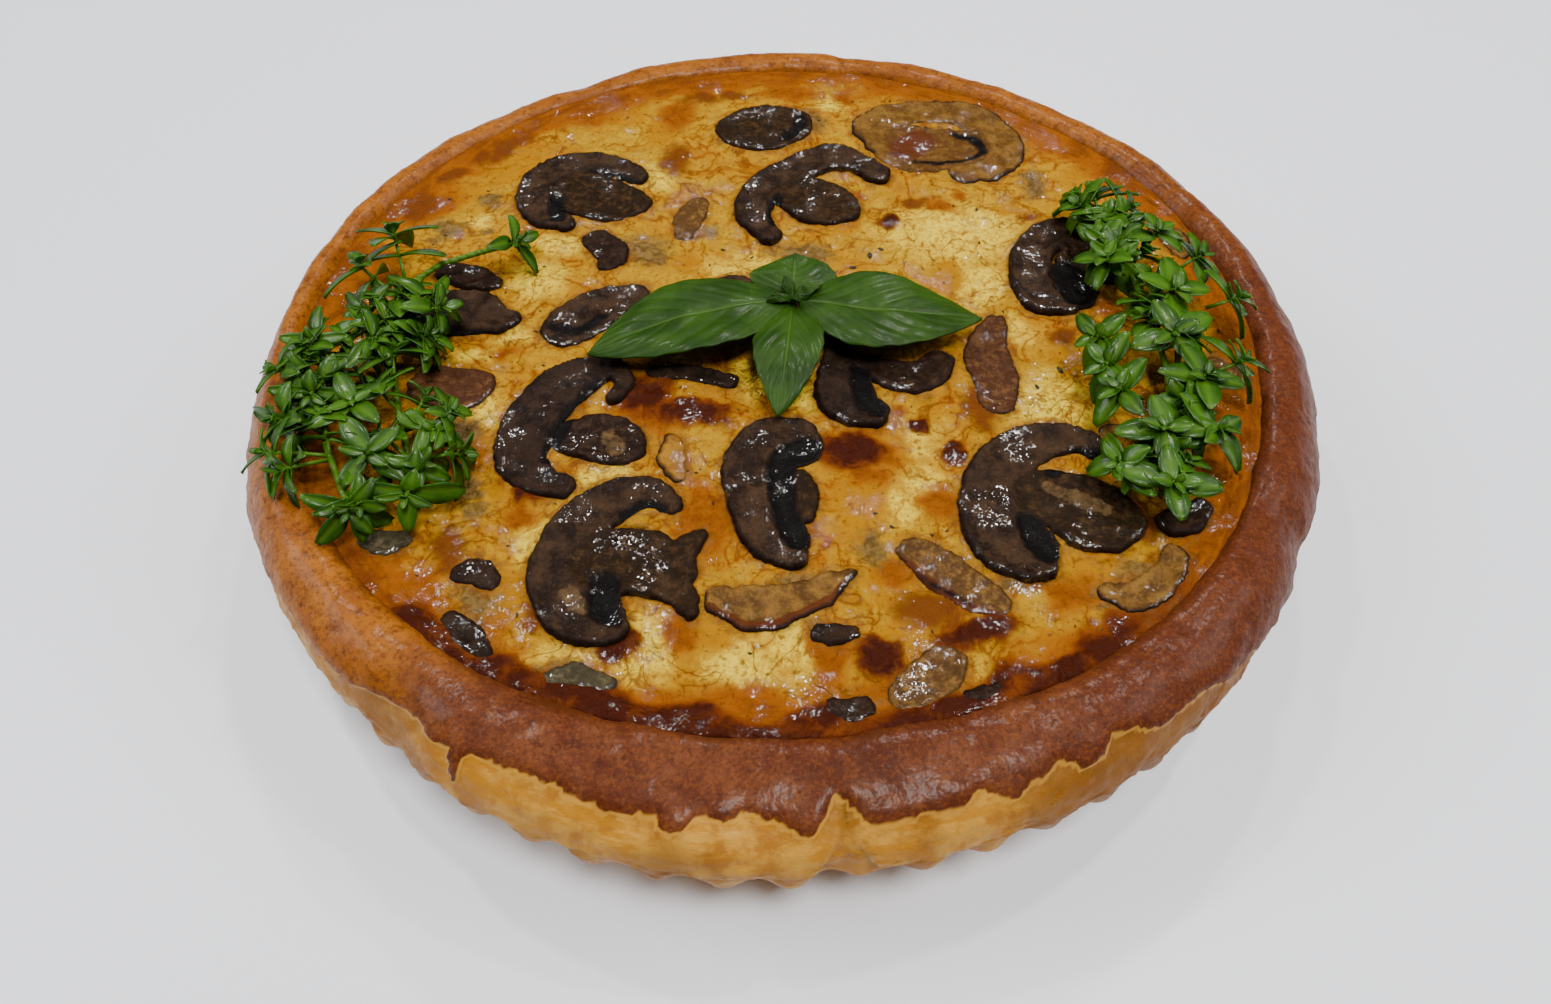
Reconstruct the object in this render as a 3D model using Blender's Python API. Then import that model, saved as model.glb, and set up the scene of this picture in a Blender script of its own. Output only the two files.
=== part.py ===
# A round mushroom quiche, whole and uncut: a fluted pastry case with a browned rolled rim, a
# baked custard filling, fried mushroom slices baked into its top, a sprig of sweet basil in the
# middle and a bunch of bush basil on the left and on the right.
# Millimetres are used for the driving sizes and turned into metres as the points are made.
# The origin is at the middle of the flat base, Z points up, and the front of the quiche is at -Y.

import math
import random

import bmesh
import bpy
from mathutils import Vector

MM = 0.001                 # one millimetre in metres
GAP = 0.35                 # clearance between neighbouring pieces

# Pastry case
FLUTES = 64                # pleats round the case
SEGMENTS = 2 * FLUTES      # one point on each pleat and one in each valley
RIM_RADIUS = 125.6         # widest radius of the rolled rim
RIM_OVAL = 0.9             # how much deeper than wide the case is
RIM_HEIGHT = 38.3          # top of the rim
LIP_HEIGHT = 20.3          # under side of the rim, where the pleated wall starts
FLOOR_HEIGHT = 5.0         # thickness of the pastry under the filling
EDGE_RADIUS = 109.6        # mean radius at which the filling meets the rim

# Filling
FILLING_EDGE_HEIGHT = 35.0
FILLING_HEIGHT = 36.4
WAVE_HEIGHT = 0.35         # gentle waves in the baked top
FILLING_SEGMENTS = 64
FILLING_RINGS = (0.2, 0.42, 0.62, 0.8, 0.93)   # shares of the edge radius with a ring of points

# Mushroom slices
SLICE_SINK = 1.6           # how deep a slice lies in the custard
SLICE_ROUNDING = 0.8       # chamfer round the upper edge of a slice

# Leaves
LEAF_THICKNESS = 0.7
SMALL_LEAF_THICKNESS = 0.8
RANDOM_SEED = 17


def clear_scene():
    for obj in list(bpy.data.objects):
        bpy.data.objects.remove(obj, do_unlink=True)


def make_material(name, colour, roughness):
    material = bpy.data.materials.new(name)
    material.use_nodes = True
    shader = material.node_tree.nodes["Principled BSDF"]
    shader.inputs["Base Color"].default_value = (*colour, 1.0)
    shader.inputs["Roughness"].default_value = roughness
    shader.inputs["Metallic"].default_value = 0.0
    return material


def add_object(name, bm, material=None, smooth=True):
    """Turns a bmesh into an object with outward faces."""
    bmesh.ops.recalc_face_normals(bm, faces=bm.faces[:])
    mesh = bpy.data.meshes.new(name)
    bm.to_mesh(mesh)
    bm.free()
    obj = bpy.data.objects.new(name, mesh)
    bpy.context.scene.collection.objects.link(obj)
    if material:
        mesh.materials.append(material)
    if smooth:
        mesh.shade_smooth()
        mesh.set_sharp_from_angle(angle=math.radians(40.0))
    return obj


def combine(target, others, operation, solver="EXACT"):
    """Joins or cuts a target with a collection of other objects, applies it and removes them."""
    collection = bpy.data.collections.new(target.name + "_operands")
    bpy.context.scene.collection.children.link(collection)
    for other in others:
        bpy.context.scene.collection.objects.unlink(other)
        collection.objects.link(other)
        other.hide_render = True
        other.display_type = "WIRE"
    modifier = target.modifiers.new("combine", "BOOLEAN")
    modifier.operation = operation
    modifier.operand_type = "COLLECTION"
    modifier.collection = collection
    modifier.solver = solver
    depsgraph = bpy.context.evaluated_depsgraph_get()
    result = bpy.data.meshes.new_from_object(target.evaluated_get(depsgraph))
    target.modifiers.clear()
    target.data = result
    for other in others:
        bpy.data.objects.remove(other, do_unlink=True)
    bpy.data.collections.remove(collection)
    if operation == "UNION":
        keep_outer_shell(result)
    return target


def keep_outer_shell(mesh):
    """Fills the hollows that fusing seals and drops loose scraps: only the largest shell stays."""
    bm = bmesh.new()
    bm.from_mesh(mesh)
    unseen = set(bm.verts)
    shells = []
    while unseen:
        shell = {unseen.pop()}
        edge_of_shell = list(shell)
        while edge_of_shell:
            vert = edge_of_shell.pop()
            for edge in vert.link_edges:
                other = edge.other_vert(vert)
                if other in unseen:
                    unseen.remove(other)
                    shell.add(other)
                    edge_of_shell.append(other)
        shells.append(shell)
    largest = max(shells, key=len)
    spare = [vert for shell in shells if shell is not largest for vert in shell]
    bmesh.ops.delete(bm, geom=spare, context="VERTS")
    bm.to_mesh(mesh)
    bm.free()


def bump(angle, centre_degrees, width_degrees):
    """A soft local bump of height 1 round one direction of the quiche."""
    away = (math.degrees(angle) - centre_degrees + 180.0) % 360.0 - 180.0
    return math.exp(-((away / width_degrees) ** 2))


# Pastry case


def rim_radius(angle):
    """Widest radius of the rim: slightly oval, with the small wobbles of hand-laid pastry."""
    wobble = 0.5 * math.sin(3.0 * angle + 0.6) + 0.4 * math.sin(7.0 * angle + 1.9)
    shoulder = 1.5 * bump(angle, 132.0, 22.0)
    return RIM_RADIUS - RIM_OVAL * math.cos(2.0 * angle) + wobble + shoulder


def edge_radius(angle):
    """Radius at which the filling meets the rim: the rim is broad at the front, thin behind."""
    shift = 4.0 * math.sin(angle) - 1.5 * math.cos(angle)
    return EDGE_RADIUS + shift + 2.2 * math.cos(2.0 * angle) + 2.5 * bump(angle, -45.0, 25.0)


def crack(angle):
    """Depth of the split in the lip, a little right of the front."""
    return 3.2 * bump(angle, -81.5, 2.6)


def crease(angle):
    """Depth of the pinched folds across the rim."""
    folds = 1.6 * bump(angle, -127.0, 3.0) + 1.2 * bump(angle, -29.0, 3.0)
    return folds + 1.3 * bump(angle, 118.0, 4.0) + 1.1 * bump(angle, 46.0, 4.0)


def rim_height(angle):
    wobble = 0.6 * math.sin(2.0 * angle + 0.8) + 0.5 * math.sin(5.0 * angle)
    return RIM_HEIGHT + wobble - 0.6 * crease(angle)


def inner_wall_radius(angle):
    return min(rim_radius(angle) - 17.0, edge_radius(angle) - 0.5)


def floor_radius(angle):
    return rim_radius(angle) - 26.0


def case_profile(angle):
    """Points of the case's section in one direction, from the base, over the rim, to the floor."""
    outer = rim_radius(angle)
    edge = edge_radius(angle)
    pleat = math.cos(FLUTES * angle)
    top = rim_height(angle)
    split = crack(angle)
    fold = crease(angle)
    lip_drop = 0.9 * pleat + 0.5 * math.sin(11.0 * angle)
    return [
        (outer - 20.5 + 0.6 * pleat, 0.0),
        (outer - 15.2 + 1.2 * pleat, 11.0),
        (outer - 11.5 + 1.5 * pleat, LIP_HEIGHT - 0.6),
        (outer - 3.2 + 1.1 * pleat - 1.5 * split, LIP_HEIGHT - lip_drop + 0.6 * split),
        (outer - 0.5 + 0.6 * pleat - split, 24.4),
        (outer - 0.5 * split - fold, 29.0),
        (outer - 3.4 - 0.3 * split - fold, top - 3.6),
        (0.5 * (outer - 3.4) + 0.5 * edge, top),
        (edge, FILLING_EDGE_HEIGHT + 0.8),
        (inner_wall_radius(angle), LIP_HEIGHT),
        (floor_radius(angle), FLOOR_HEIGHT),
    ]


def filling_profile(angle):
    """Radii and heights of the filling's side and floor, kept clear of the case."""
    return [
        (edge_radius(angle) - GAP, FILLING_EDGE_HEIGHT),
        (inner_wall_radius(angle) - GAP, LIP_HEIGHT),
        (floor_radius(angle) - GAP, FLOOR_HEIGHT + GAP),
    ]


def ring_angles(segments):
    return [2.0 * math.pi * i / segments for i in range(segments)]


def loft_rings(rings, first_centre=None, last_centre=None):
    """Bridges rings of points, in millimetres, into a skin and closes it at both ends.

    An end with a centre gets a fan round that point, and the other kind one flat face.
    """
    bm = bmesh.new()
    made = [[bm.verts.new(Vector(point) * MM) for point in ring] for ring in rings]
    for lower, upper in zip(made, made[1:]):
        for i in range(len(lower)):
            bm.faces.new((lower[i - 1], lower[i], upper[i], upper[i - 1]))
    for ring, centre in ((made[0], first_centre), (made[-1], last_centre)):
        if centre:
            middle = bm.verts.new(Vector(centre) * MM)
            for i in range(len(ring)):
                bm.faces.new((ring[i - 1], ring[i], middle))
        else:
            bm.faces.new(ring)
    return bm


def turned_rings(profiles, angles):
    """Rings of points through the same row of each direction's profile."""
    rings = []
    for row in range(len(profiles[0])):
        rings.append([
            (profile[row][0] * math.cos(angle), profile[row][0] * math.sin(angle), profile[row][1])
            for profile, angle in zip(profiles, angles)
        ])
    return rings


def build_crust():
    angles = ring_angles(SEGMENTS)
    rings = turned_rings([case_profile(angle) for angle in angles], angles)
    bm = loft_rings(rings, (0.0, 0.0, 0.0), (0.0, 0.0, FLOOR_HEIGHT))
    return add_object("crust", bm, make_material("baked_pastry", (0.52, 0.20, 0.045), 0.42))


# Filling

# Browned cheese blisters: x, y, radius and height of each swelling in the custard's top
BLISTERS = [
    (-23, -25, 13, 1.2), (16, -37, 9, 1.0), (16, -88, 8, 1.0), (44, -80, 12, 0.9),
    (66, -84, 10, 0.8), (-78, -72, 12, 0.9), (-96, -36, 9, 0.8), (40, 30, 14, 0.5),
    (-30, 78, 14, 0.6), (84, 56, 12, 0.6), (-62, -52, 9, 0.7), (-10, -92, 10, 0.8),
]


def filling_height(x, y, share):
    """Height of the custard's top; share is the distance from the middle over the edge radius."""
    level = FILLING_HEIGHT - (FILLING_HEIGHT - FILLING_EDGE_HEIGHT) * share ** 12
    wave = math.sin(0.061 * x + 1.0) * math.cos(0.074 * y) + 0.6 * math.sin(0.13 * (x + y))
    swell = sum(
        height * math.exp(-((x - bx) ** 2 + (y - by) ** 2) / (0.5 * radius) ** 2 / 2.0)
        for bx, by, radius, height in BLISTERS
    )
    return level + (WAVE_HEIGHT * wave + swell) * (1.0 - share ** 6)


def build_filling():
    angles = ring_angles(FILLING_SEGMENTS)
    sides = [filling_profile(angle) for angle in angles]
    rings = []
    for share in FILLING_RINGS:
        ring = []
        for side, angle in zip(sides, angles):
            x = share * side[0][0] * math.cos(angle)
            y = share * side[0][0] * math.sin(angle)
            ring.append((x, y, filling_height(x, y, share)))
        rings.append(ring)
    rings += turned_rings(sides, angles)
    top = (0.0, 0.0, filling_height(0.0, 0.0, 0.0))
    bm = loft_rings(rings, top, (0.0, 0.0, FLOOR_HEIGHT + GAP))
    return add_object("filling", bm, make_material("baked_custard", (0.78, 0.50, 0.12), 0.3))


# Mushroom slices

# Each slice is made of bands: the curved cap, the dark gills inside it and the stem. A band is a
# row of points (x, y, half width) in millimetres. The rise is how far a band stands out of the
# custard. Dark slices dried and curled in the oven, so they stand higher than pale, sunk ones.
CAP_RISE, STEM_RISE, GILL_RISE, SUNK_RISE = 3.0, 2.5, 2.0, 1.1

SLICES = [
    [(CAP_RISE, [(-55.5, 41, 3), (-61.5, 44.5, 4.4), (-65, 53.5, 4.6), (-61.5, 62.5, 4.6),
                 (-53, 66.5, 4.6), (-43.5, 64, 4.2), (-37.5, 59.5, 3)]),
     (STEM_RISE, [(-51.5, 53.5, 9), (-43.5, 49.5, 8), (-37.5, 48.5, 4.5)])],
    [(CAP_RISE, [(-2, 34.5, 2.8), (-6.5, 43.5, 4.6), (-3.5, 54, 5.4), (5, 62, 5.4),
                 (14, 67, 5.4), (22, 64.5, 3.6), (27.5, 59.5, 3.2)]),
     (STEM_RISE, [(6, 52, 7.5), (12, 47.5, 8.2), (17.5, 45, 4.4)])],
    [(CAP_RISE, [(-9, 81, 8), (-3.5, 81.5, 10.5), (2.5, 83.5, 8)])],
    [(SUNK_RISE, [(30, 72.5, 4.2), (27, 81.5, 5.4), (33.5, 88, 5.5), (45.5, 90, 5.5),
                  (58, 85.5, 5.5), (64, 73, 5.2), (59, 62.5, 4.6), (51, 60, 4.4)]),
     (0.7, [(35.5, 73.5, 9.5), (41, 71.5, 10.5), (52.5, 73, 8)])],
    [(CAP_RISE, [(68.5, 7, 3.6), (63, 10, 4.8), (62, 20, 5), (67, 30.5, 5.4),
                 (74.5, 33.5, 5.4), (80.5, 29, 4.6), (82.5, 22, 3)]),
     (GILL_RISE, [(71.5, 17.5, 5), (72.5, 10.5, 4.6)]),
     (STEM_RISE, [(74, 23, 5), (79, 19.5, 4.5), (82.5, 17.5, 3.4)])],
    [(STEM_RISE, [(-82.5, 22.5, 3.2), (-76, 20.5, 4), (-70.5, 18.5, 2.4)])],
    [(CAP_RISE, [(-80, 7.5, 7), (-74.5, 7.5, 7.6), (-69, 5.5, 4.8), (-64.5, 5.5, 2.4)])],
    [(STEM_RISE, [(-79, -16, 6), (-73.5, -17.5, 6.6), (-69, -16, 3.8)])],
    [(SUNK_RISE, [(-35.5, 14.5, 3.4), (-41.5, 11.5, 5.6), (-47, 6.5, 7.2), (-51.5, 3, 6)])],
    [(CAP_RISE, [(-37.5, -20.5, 2), (-35.5, -16, 2.2), (-40, -11.5, 3.4), (-48.5, -16.5, 6.2),
                 (-54, -24.5, 6.6), (-56.5, -33.5, 6.4), (-56, -40, 5.4), (-51.5, -44.5, 4.2),
                 (-46.5, -46.5, 2.8)]),
     (STEM_RISE, [(-46.5, -32.5, 4.6), (-40, -33, 6.8), (-35.5, -35, 6), (-32.5, -35.5, 3)])],
    [(GILL_RISE, [(-29, -13, 2), (-20.5, -14, 2.6), (-12, -16.5, 2.2)])],
    [(GILL_RISE, [(-16.5, 14.5, 3), (-10, 15.5, 4.2), (-4.5, 12, 3)])],
    [(GILL_RISE, [(-46, 34, 4), (-42, 29, 4.4), (-43, 25, 2.6)])],
    [(SUNK_RISE, [(-21, 48.5, 3), (-23, 42.5, 4), (-24, 37, 2.6)])],
    [(CAP_RISE, [(6.5, -35.5, 2.6), (3.5, -32, 3.4), (-3, -33.5, 5.2), (-7.5, -40.5, 5.6),
                 (-6.5, -51, 5.2), (-4, -60.5, 4.6), (1.5, -65, 3.2)]),
     (GILL_RISE, [(5, -38.5, 3), (0, -41, 3), (-0.5, -48, 3), (0.5, -55.5, 3), (2.5, -61, 3)]),
     (STEM_RISE, [(3.2, -45, 2.6), (4.2, -49.5, 3.2), (4, -54, 2.8)])],
    [(CAP_RISE, [(-33, -81.5, 3), (-39, -80, 4.8), (-44, -75, 5.6), (-45.5, -66.5, 5.8),
                 (-43, -58, 6), (-37, -51.5, 5.6), (-29, -48.5, 4.2), (-23.5, -51.5, 2.6)]),
     (STEM_RISE, [(-37, -64, 7.5), (-30.5, -65.5, 8), (-24.5, -67.5, 7)]),
     (GILL_RISE, [(-35.5, -71, 3.4), (-35.5, -76, 3.6), (-33.5, -79, 2.4)]),
     (2.2, [(-25, -66, 4.5), (-20.5, -63, 3.2), (-17, -59.5, 1.6)]),
     (2.3, [(-25, -70, 4.5), (-20.5, -74, 3), (-18.5, -78, 1.6)])],
    [(CAP_RISE, [(13.5, -4.5, 3), (13.5, -11.5, 4.4), (12.5, -20.5, 5.2), (15.5, -26, 4.2),
                 (21, -28.5, 2.4)]),
     (STEM_RISE, [(16, -10.5, 3), (25, -15, 4.2), (32, -16, 5), (37, -11, 3.2)]),
     (GILL_RISE, [(18, -15, 2.6), (18.5, -22, 2.8), (21, -26, 2.6)])],
    [(SUNK_RISE, [(51, 2, 3), (48, -7, 5), (49, -15.5, 5.4), (48, -23.5, 4.2)])],
    [(CAP_RISE, [(51.5, -68.5, 3.2), (46, -66.5, 5.2), (42.5, -60, 6), (43, -51, 6.4),
                 (47.5, -42, 6.2), (54.5, -36.5, 5.4), (63, -35.5, 3.8), (68.5, -39.5, 2.6)]),
     (STEM_RISE, [(53.5, -50, 5.6), (59, -52.5, 8), (63.5, -56, 9), (67, -57.5, 7)]),
     (GILL_RISE, [(50, -57.5, 3), (51.5, -62.5, 4), (52.5, -66, 2.4)])],
    [(SUNK_RISE, [(25.5, -64, 3.2), (30.5, -68, 4.8), (36, -73.5, 4.6), (41, -77, 3)])],
    [(SUNK_RISE, [(-12.5, -75, 3.6), (-6, -77.2, 5), (2, -75.4, 4.6), (8.5, -72, 3.2),
                  (12.5, -69, 1.8)])],
    [(SUNK_RISE, [(21.5, -96, 3.2), (25.5, -93.5, 4.6), (29, -90.5, 4.6), (31.5, -89, 2.6)])],
    [(SUNK_RISE, [(8.5, -98, 2), (11.5, -98.8, 2.6), (14, -98.3, 2)])],
    [(GILL_RISE, [(79.5, -58, 3), (83, -57, 3.6), (86, -54.5, 2.6)])],
    [(SUNK_RISE, [(78.5, -65.5, 2.6), (75.5, -70.5, 3.2), (69, -75, 3.8), (63.5, -74, 2.4)])],
    [(SUNK_RISE, [(-65.5, -77.5, 1.8), (-61.5, -81.5, 2.8), (-57.5, -85.5, 1.6)])],
    [(SUNK_RISE, [(-65, -67.5, 2.4), (-62, -67, 3.2), (-59, -69, 2.4)])],
    [(SUNK_RISE, [(-85.5, -58.5, 2.4), (-81.5, -59.5, 3), (-78.5, -58.5, 2.2)])],
    [(SUNK_RISE, [(100.5, -12, 2.4), (102.5, -14.5, 3.2), (104.5, -17, 2.2)])],
    [(SUNK_RISE, [(-44, -91, 1.8), (-39.5, -90.5, 2.4), (-34, -92.5, 1.8)])],
    [(SUNK_RISE, [(33.5, -96.3, 1.4), (36, -96, 1.8), (38.5, -94.6, 1.4)])],
    [(SUNK_RISE, [(-24, -34, 2.2), (-24, -39, 3), (-22.5, -43, 2)])],
    [(SUNK_RISE, [(6.5, -82.5, 1.8), (9.5, -83.5, 2.6), (12, -83, 1.8)])],
    [(SUNK_RISE, [(71, -33, 1.6), (74, -32.5, 1.8), (76, -34, 1.2)])],
    [(SUNK_RISE, [(98.5, 35.5, 3), (101, 32, 3.2), (102, 27.5, 2.4)])],
]


def smooth_band(points):
    """Adds a point between each two of a long band, on a smooth curve through them."""
    if len(points) < 7:
        return [Vector(point) for point in points]
    known = [Vector(point) for point in points]
    finer = [known[0]]
    for i in range(len(known) - 1):
        before = known[max(i - 1, 0)]
        after = known[min(i + 2, len(known) - 1)]
        finer.append(0.5625 * (known[i] + known[i + 1]) - 0.0625 * (before + after))
        finer.append(known[i + 1])
    return finer


def band_outline(points, grow=0.0):
    """Outline of a band of varying width with round ends, in millimetres."""
    line = smooth_band(points)
    left, right = [], []
    for i, point in enumerate(line):
        ahead = line[min(i + 1, len(line) - 1)] - line[max(i - 1, 0)]
        along = Vector((ahead.x, ahead.y)).normalized()
        across = Vector((-along.y, along.x))
        left.append(Vector((point.x, point.y)) + across * (point.z + grow))
        right.append(Vector((point.x, point.y)) - across * (point.z + grow))
        if i == 0:
            start = Vector((point.x, point.y)) - along * (0.8 * point.z + grow)
        end = Vector((point.x, point.y)) + along * (0.8 * point.z + grow)
    return left + [end] + right[::-1] + [start]


def raised_band(name, points, bottom, top, rounding, grow=0.0):
    """A flat band between two heights; a rounding narrows its upper edge."""
    levels = [(grow, bottom), (grow, top - rounding)]
    if rounding:
        levels.append((grow - rounding, top))
    rings = []
    for extra, height in levels:
        rings.append([(point.x, point.y, height) for point in band_outline(points, extra)])
    bm = loft_rings(rings)
    bmesh.ops.triangulate(bm, faces=bm.faces[:])
    return add_object(name, bm, smooth=False)


def build_slices():
    """Makes the mushroom slices and the cutters of their pockets in the custard."""
    brown = make_material("roast_mushroom", (0.055, 0.027, 0.018), 0.4)
    tan = make_material("pale_mushroom", (0.30, 0.16, 0.07), 0.4)
    cutters = []
    for number, bands in enumerate(SLICES, start=1):
        name = "mushroom_slice_%02d" % number
        pieces = []
        bottom = FILLING_HEIGHT - SLICE_SINK
        for part, (rise, points) in enumerate(bands):
            top = FILLING_HEIGHT + rise
            rounding = SLICE_ROUNDING if rise >= GILL_RISE else 0.0
            pieces.append(raised_band("%s_band%d" % (name, part), points, bottom, top, rounding))
            cutters.append(raised_band(
                "%s_pocket%d" % (name, part), points, bottom - GAP, FILLING_HEIGHT + 8.0, 0.0, GAP))
        slice_object = pieces[0]
        slice_object.name = name
        if len(pieces) > 1:
            combine(slice_object, pieces[1:], "UNION")
        slice_object.data.name = name
        slice_object.data.materials.clear()
        slice_object.data.materials.append(tan if bands[0][0] == SUNK_RISE else brown)
    return cutters


# Sweet basil sprig

SPRIG_CENTRE = (3.0, 4.0, 43.6)
# Tip point, full width, side bend and arch height of each leaf
SPRIG_LEAVES = [
    ((-44.0, -11.5, 42.0), 24.0, -1.0, 2.6),
    ((47.0, -2.0, 42.0), 24.0, -3.5, 3.0),
    ((-1.0, -31.0, 41.6), 16.0, 0.5, 3.0),
    ((4.0, 15.5, 45.0), 18.0, 0.0, 0.6),
]


def leaf_width(along):
    """Share of a basil leaf's width at a share of its length: narrow stalk, broad middle, tip."""
    return max(0.10, math.sin(math.pi * along ** 0.8) ** 0.85) if along < 1.0 else 0.04


def basil_leaf(name, base, tip, width, bend, arch, steps=7):
    """A thin wavy leaf from base to tip; bend curves its rib sideways, arch lifts its middle."""
    bm = bmesh.new()
    bmesh.ops.create_grid(bm, x_segments=steps, y_segments=4, size=0.5)
    base, tip = Vector(base), Vector(tip)
    along_rib = tip - base
    side = Vector((-along_rib.y, along_rib.x, 0.0)).normalized()
    for vert in bm.verts:
        along = vert.co.x + 0.5
        across = 2.0 * vert.co.y
        swell = math.sin(math.pi * along)
        rib = base + along_rib * along + side * bend * swell + Vector((0.0, 0.0, arch * swell))
        droop = 1.5 * across * across * swell - 0.35 * math.sin(9.0 * along) * across
        edge = side * across * 0.5 * width * leaf_width(along)
        vert.co = (rib + edge - Vector((0.0, 0.0, droop))) * MM
    bmesh.ops.triangulate(bm, faces=bm.faces[:])
    thicken(bm, LEAF_THICKNESS)
    return add_object(name, bm, smooth=False)


def thicken(bm, thickness):
    """Gives a sheet of triangles a thickness downwards, so that both faces are split alike."""
    extruded = bmesh.ops.extrude_face_region(bm, geom=bm.faces[:], use_keep_orig=True)
    lower = [item for item in extruded["geom"] if isinstance(item, bmesh.types.BMVert)]
    bmesh.ops.translate(bm, verts=lower, vec=Vector((0.0, 0.0, -thickness * MM)))


def build_basil_sprig():
    green = make_material("basil_leaf", (0.085, 0.20, 0.03), 0.45)
    bm = bmesh.new()
    bmesh.ops.create_icosphere(bm, subdivisions=2, radius=1.0)
    for vert in bm.verts:
        vert.co = Vector((
            SPRIG_CENTRE[0] + 2.6 * vert.co.x,
            SPRIG_CENTRE[1] + 2.6 * vert.co.y,
            SPRIG_CENTRE[2] - 1.0 + 3.4 * vert.co.z)) * MM
    bud = add_object("basil_sprig", bm, green)
    leaves = []
    for number, (tip, width, bend, arch) in enumerate(SPRIG_LEAVES):
        toward = (Vector(tip) - Vector(SPRIG_CENTRE)).normalized()
        base = Vector(SPRIG_CENTRE) + 1.2 * toward
        base.z -= 0.3 * number
        leaves.append(basil_leaf("sprig_leaf%d" % number, base, tip, width, bend, arch))
    return combine(bud, leaves, "UNION")


# Bush basil bunches

# Middle line of each bunch: x, y and height of a few points, half width, number of leaves
BUNCHES = {
    "bush_basil_left": dict(
        line=[(-90, 23, 41.5), (-92, 3, 43), (-94, -19, 43.5), (-89, -38, 43), (-79, -57, 41)],
        half_width=7.0, leaves=25),
    "bush_basil_right": dict(
        line=[(84, 31, 41.5), (89, 13, 43), (88, -6, 43.5), (83, -29, 43), (75, -56, 41)],
        half_width=5.5, leaves=22),
}


def point_on_line(line, share):
    """Point at a share of a line's length, by its points in equal steps."""
    place = min(max(share, 0.0), 0.9999) * (len(line) - 1)
    index = int(place)
    return Vector(line[index]).lerp(Vector(line[index + 1]), place - index)


def bunch_core(name, line, half_width, material):
    """The dense middle of a bunch: a long lumpy mound with blunt ends that follows its line."""
    bm = bmesh.new()
    bmesh.ops.create_icosphere(bm, subdivisions=2, radius=1.0)
    for vert in bm.verts:
        share = 0.5 + 0.47 * math.copysign(abs(vert.co.y) ** 0.7, vert.co.y)
        middle = point_on_line(line, share)
        sideways = half_width * vert.co.x * (1.0 + 0.18 * math.sin(17.0 * share))
        height = 3.6 * vert.co.z * (1.0 + 0.15 * math.sin(11.0 * share))
        vert.co = Vector((middle.x + sideways, middle.y, middle.z + height)) * MM
    return add_object(name, bm, material, smooth=False)


def small_leaf(name, base, direction, length, width):
    """A small pointed oval leaf with a raised rib, of six triangles on each face."""
    bm = bmesh.new()
    bmesh.ops.create_circle(bm, cap_ends=True, cap_tris=True, segments=6, radius=1.0)
    along = direction.normalized()
    side = along.cross(Vector((0.0, 0.0, 1.0))).normalized()
    for vert in bm.verts:
        x, y = vert.co.x, vert.co.y
        fold = -0.14 * width * abs(y)
        place = base + along * (0.5 + 0.5 * x) * length + side * y * 0.55 * width
        vert.co = (place + Vector((0.0, 0.0, fold))) * MM
    thicken(bm, SMALL_LEAF_THICKNESS)
    return add_object(name, bm, smooth=False)


def build_bunch(name, line, half_width, leaves):
    green = make_material(name + "_leaf", (0.10, 0.26, 0.02), 0.45)
    core = bunch_core(name, line, half_width, green)
    pieces = []
    for number in range(leaves):
        share = 0.03 + 0.94 * (number + random.uniform(-0.4, 0.4)) / (leaves - 1)
        middle = point_on_line(line, share)
        turn = number * 2.4 + random.uniform(-0.6, 0.6)
        lift = random.uniform(0.1, 0.8)
        direction = Vector((math.cos(turn), math.sin(turn), lift))
        base = middle + Vector((
            0.62 * half_width * math.cos(turn), 2.0 * math.sin(turn), 0.4 + 1.6 * lift))
        length = random.uniform(10.5, 14.0)
        pieces.append(small_leaf(
            "%s_leaf%d" % (name, number), base, direction, length, random.uniform(6.5, 8.5)))
    return combine(core, pieces, "UNION")


clear_scene()
random.seed(RANDOM_SEED)
build_crust()
filling = build_filling()
combine(filling, build_slices(), "DIFFERENCE")
build_basil_sprig()
for bunch_name, bunch in BUNCHES.items():
    build_bunch(bunch_name, **bunch)
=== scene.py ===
import math
import random

import bmesh
import bpy
from mathutils import Matrix, Vector, noise


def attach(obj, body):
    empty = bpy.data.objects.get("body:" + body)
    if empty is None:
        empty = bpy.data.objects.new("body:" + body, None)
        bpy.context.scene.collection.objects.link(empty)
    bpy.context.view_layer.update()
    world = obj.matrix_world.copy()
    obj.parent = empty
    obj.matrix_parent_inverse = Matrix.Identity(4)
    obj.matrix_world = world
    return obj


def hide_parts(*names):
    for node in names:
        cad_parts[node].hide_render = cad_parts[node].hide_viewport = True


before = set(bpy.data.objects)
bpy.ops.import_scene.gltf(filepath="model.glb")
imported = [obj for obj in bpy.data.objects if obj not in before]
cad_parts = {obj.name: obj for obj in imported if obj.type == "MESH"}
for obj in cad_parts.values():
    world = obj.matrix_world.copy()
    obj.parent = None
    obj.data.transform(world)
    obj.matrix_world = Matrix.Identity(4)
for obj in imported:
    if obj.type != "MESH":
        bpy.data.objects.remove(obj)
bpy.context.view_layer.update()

# Pastry case
# Shortcrust pressed into a fluted tin and rolled outwards over its edge, brushed with egg and
# baked. The roll is browned, and the dough under it stays pale where the tin's edge shaded it.

MM = 0.001
FLUTES = 64
RIM_RADIUS = 125.6
RIM_HEIGHT = 38.3
LIP_HEIGHT = 20.3
EDGE_HEIGHT = 35.0         # where the custard meets the rim
CASE_STEPS = 12 * FLUTES
SECTION_STEPS = 8          # rows of points between two corners of the section


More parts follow.
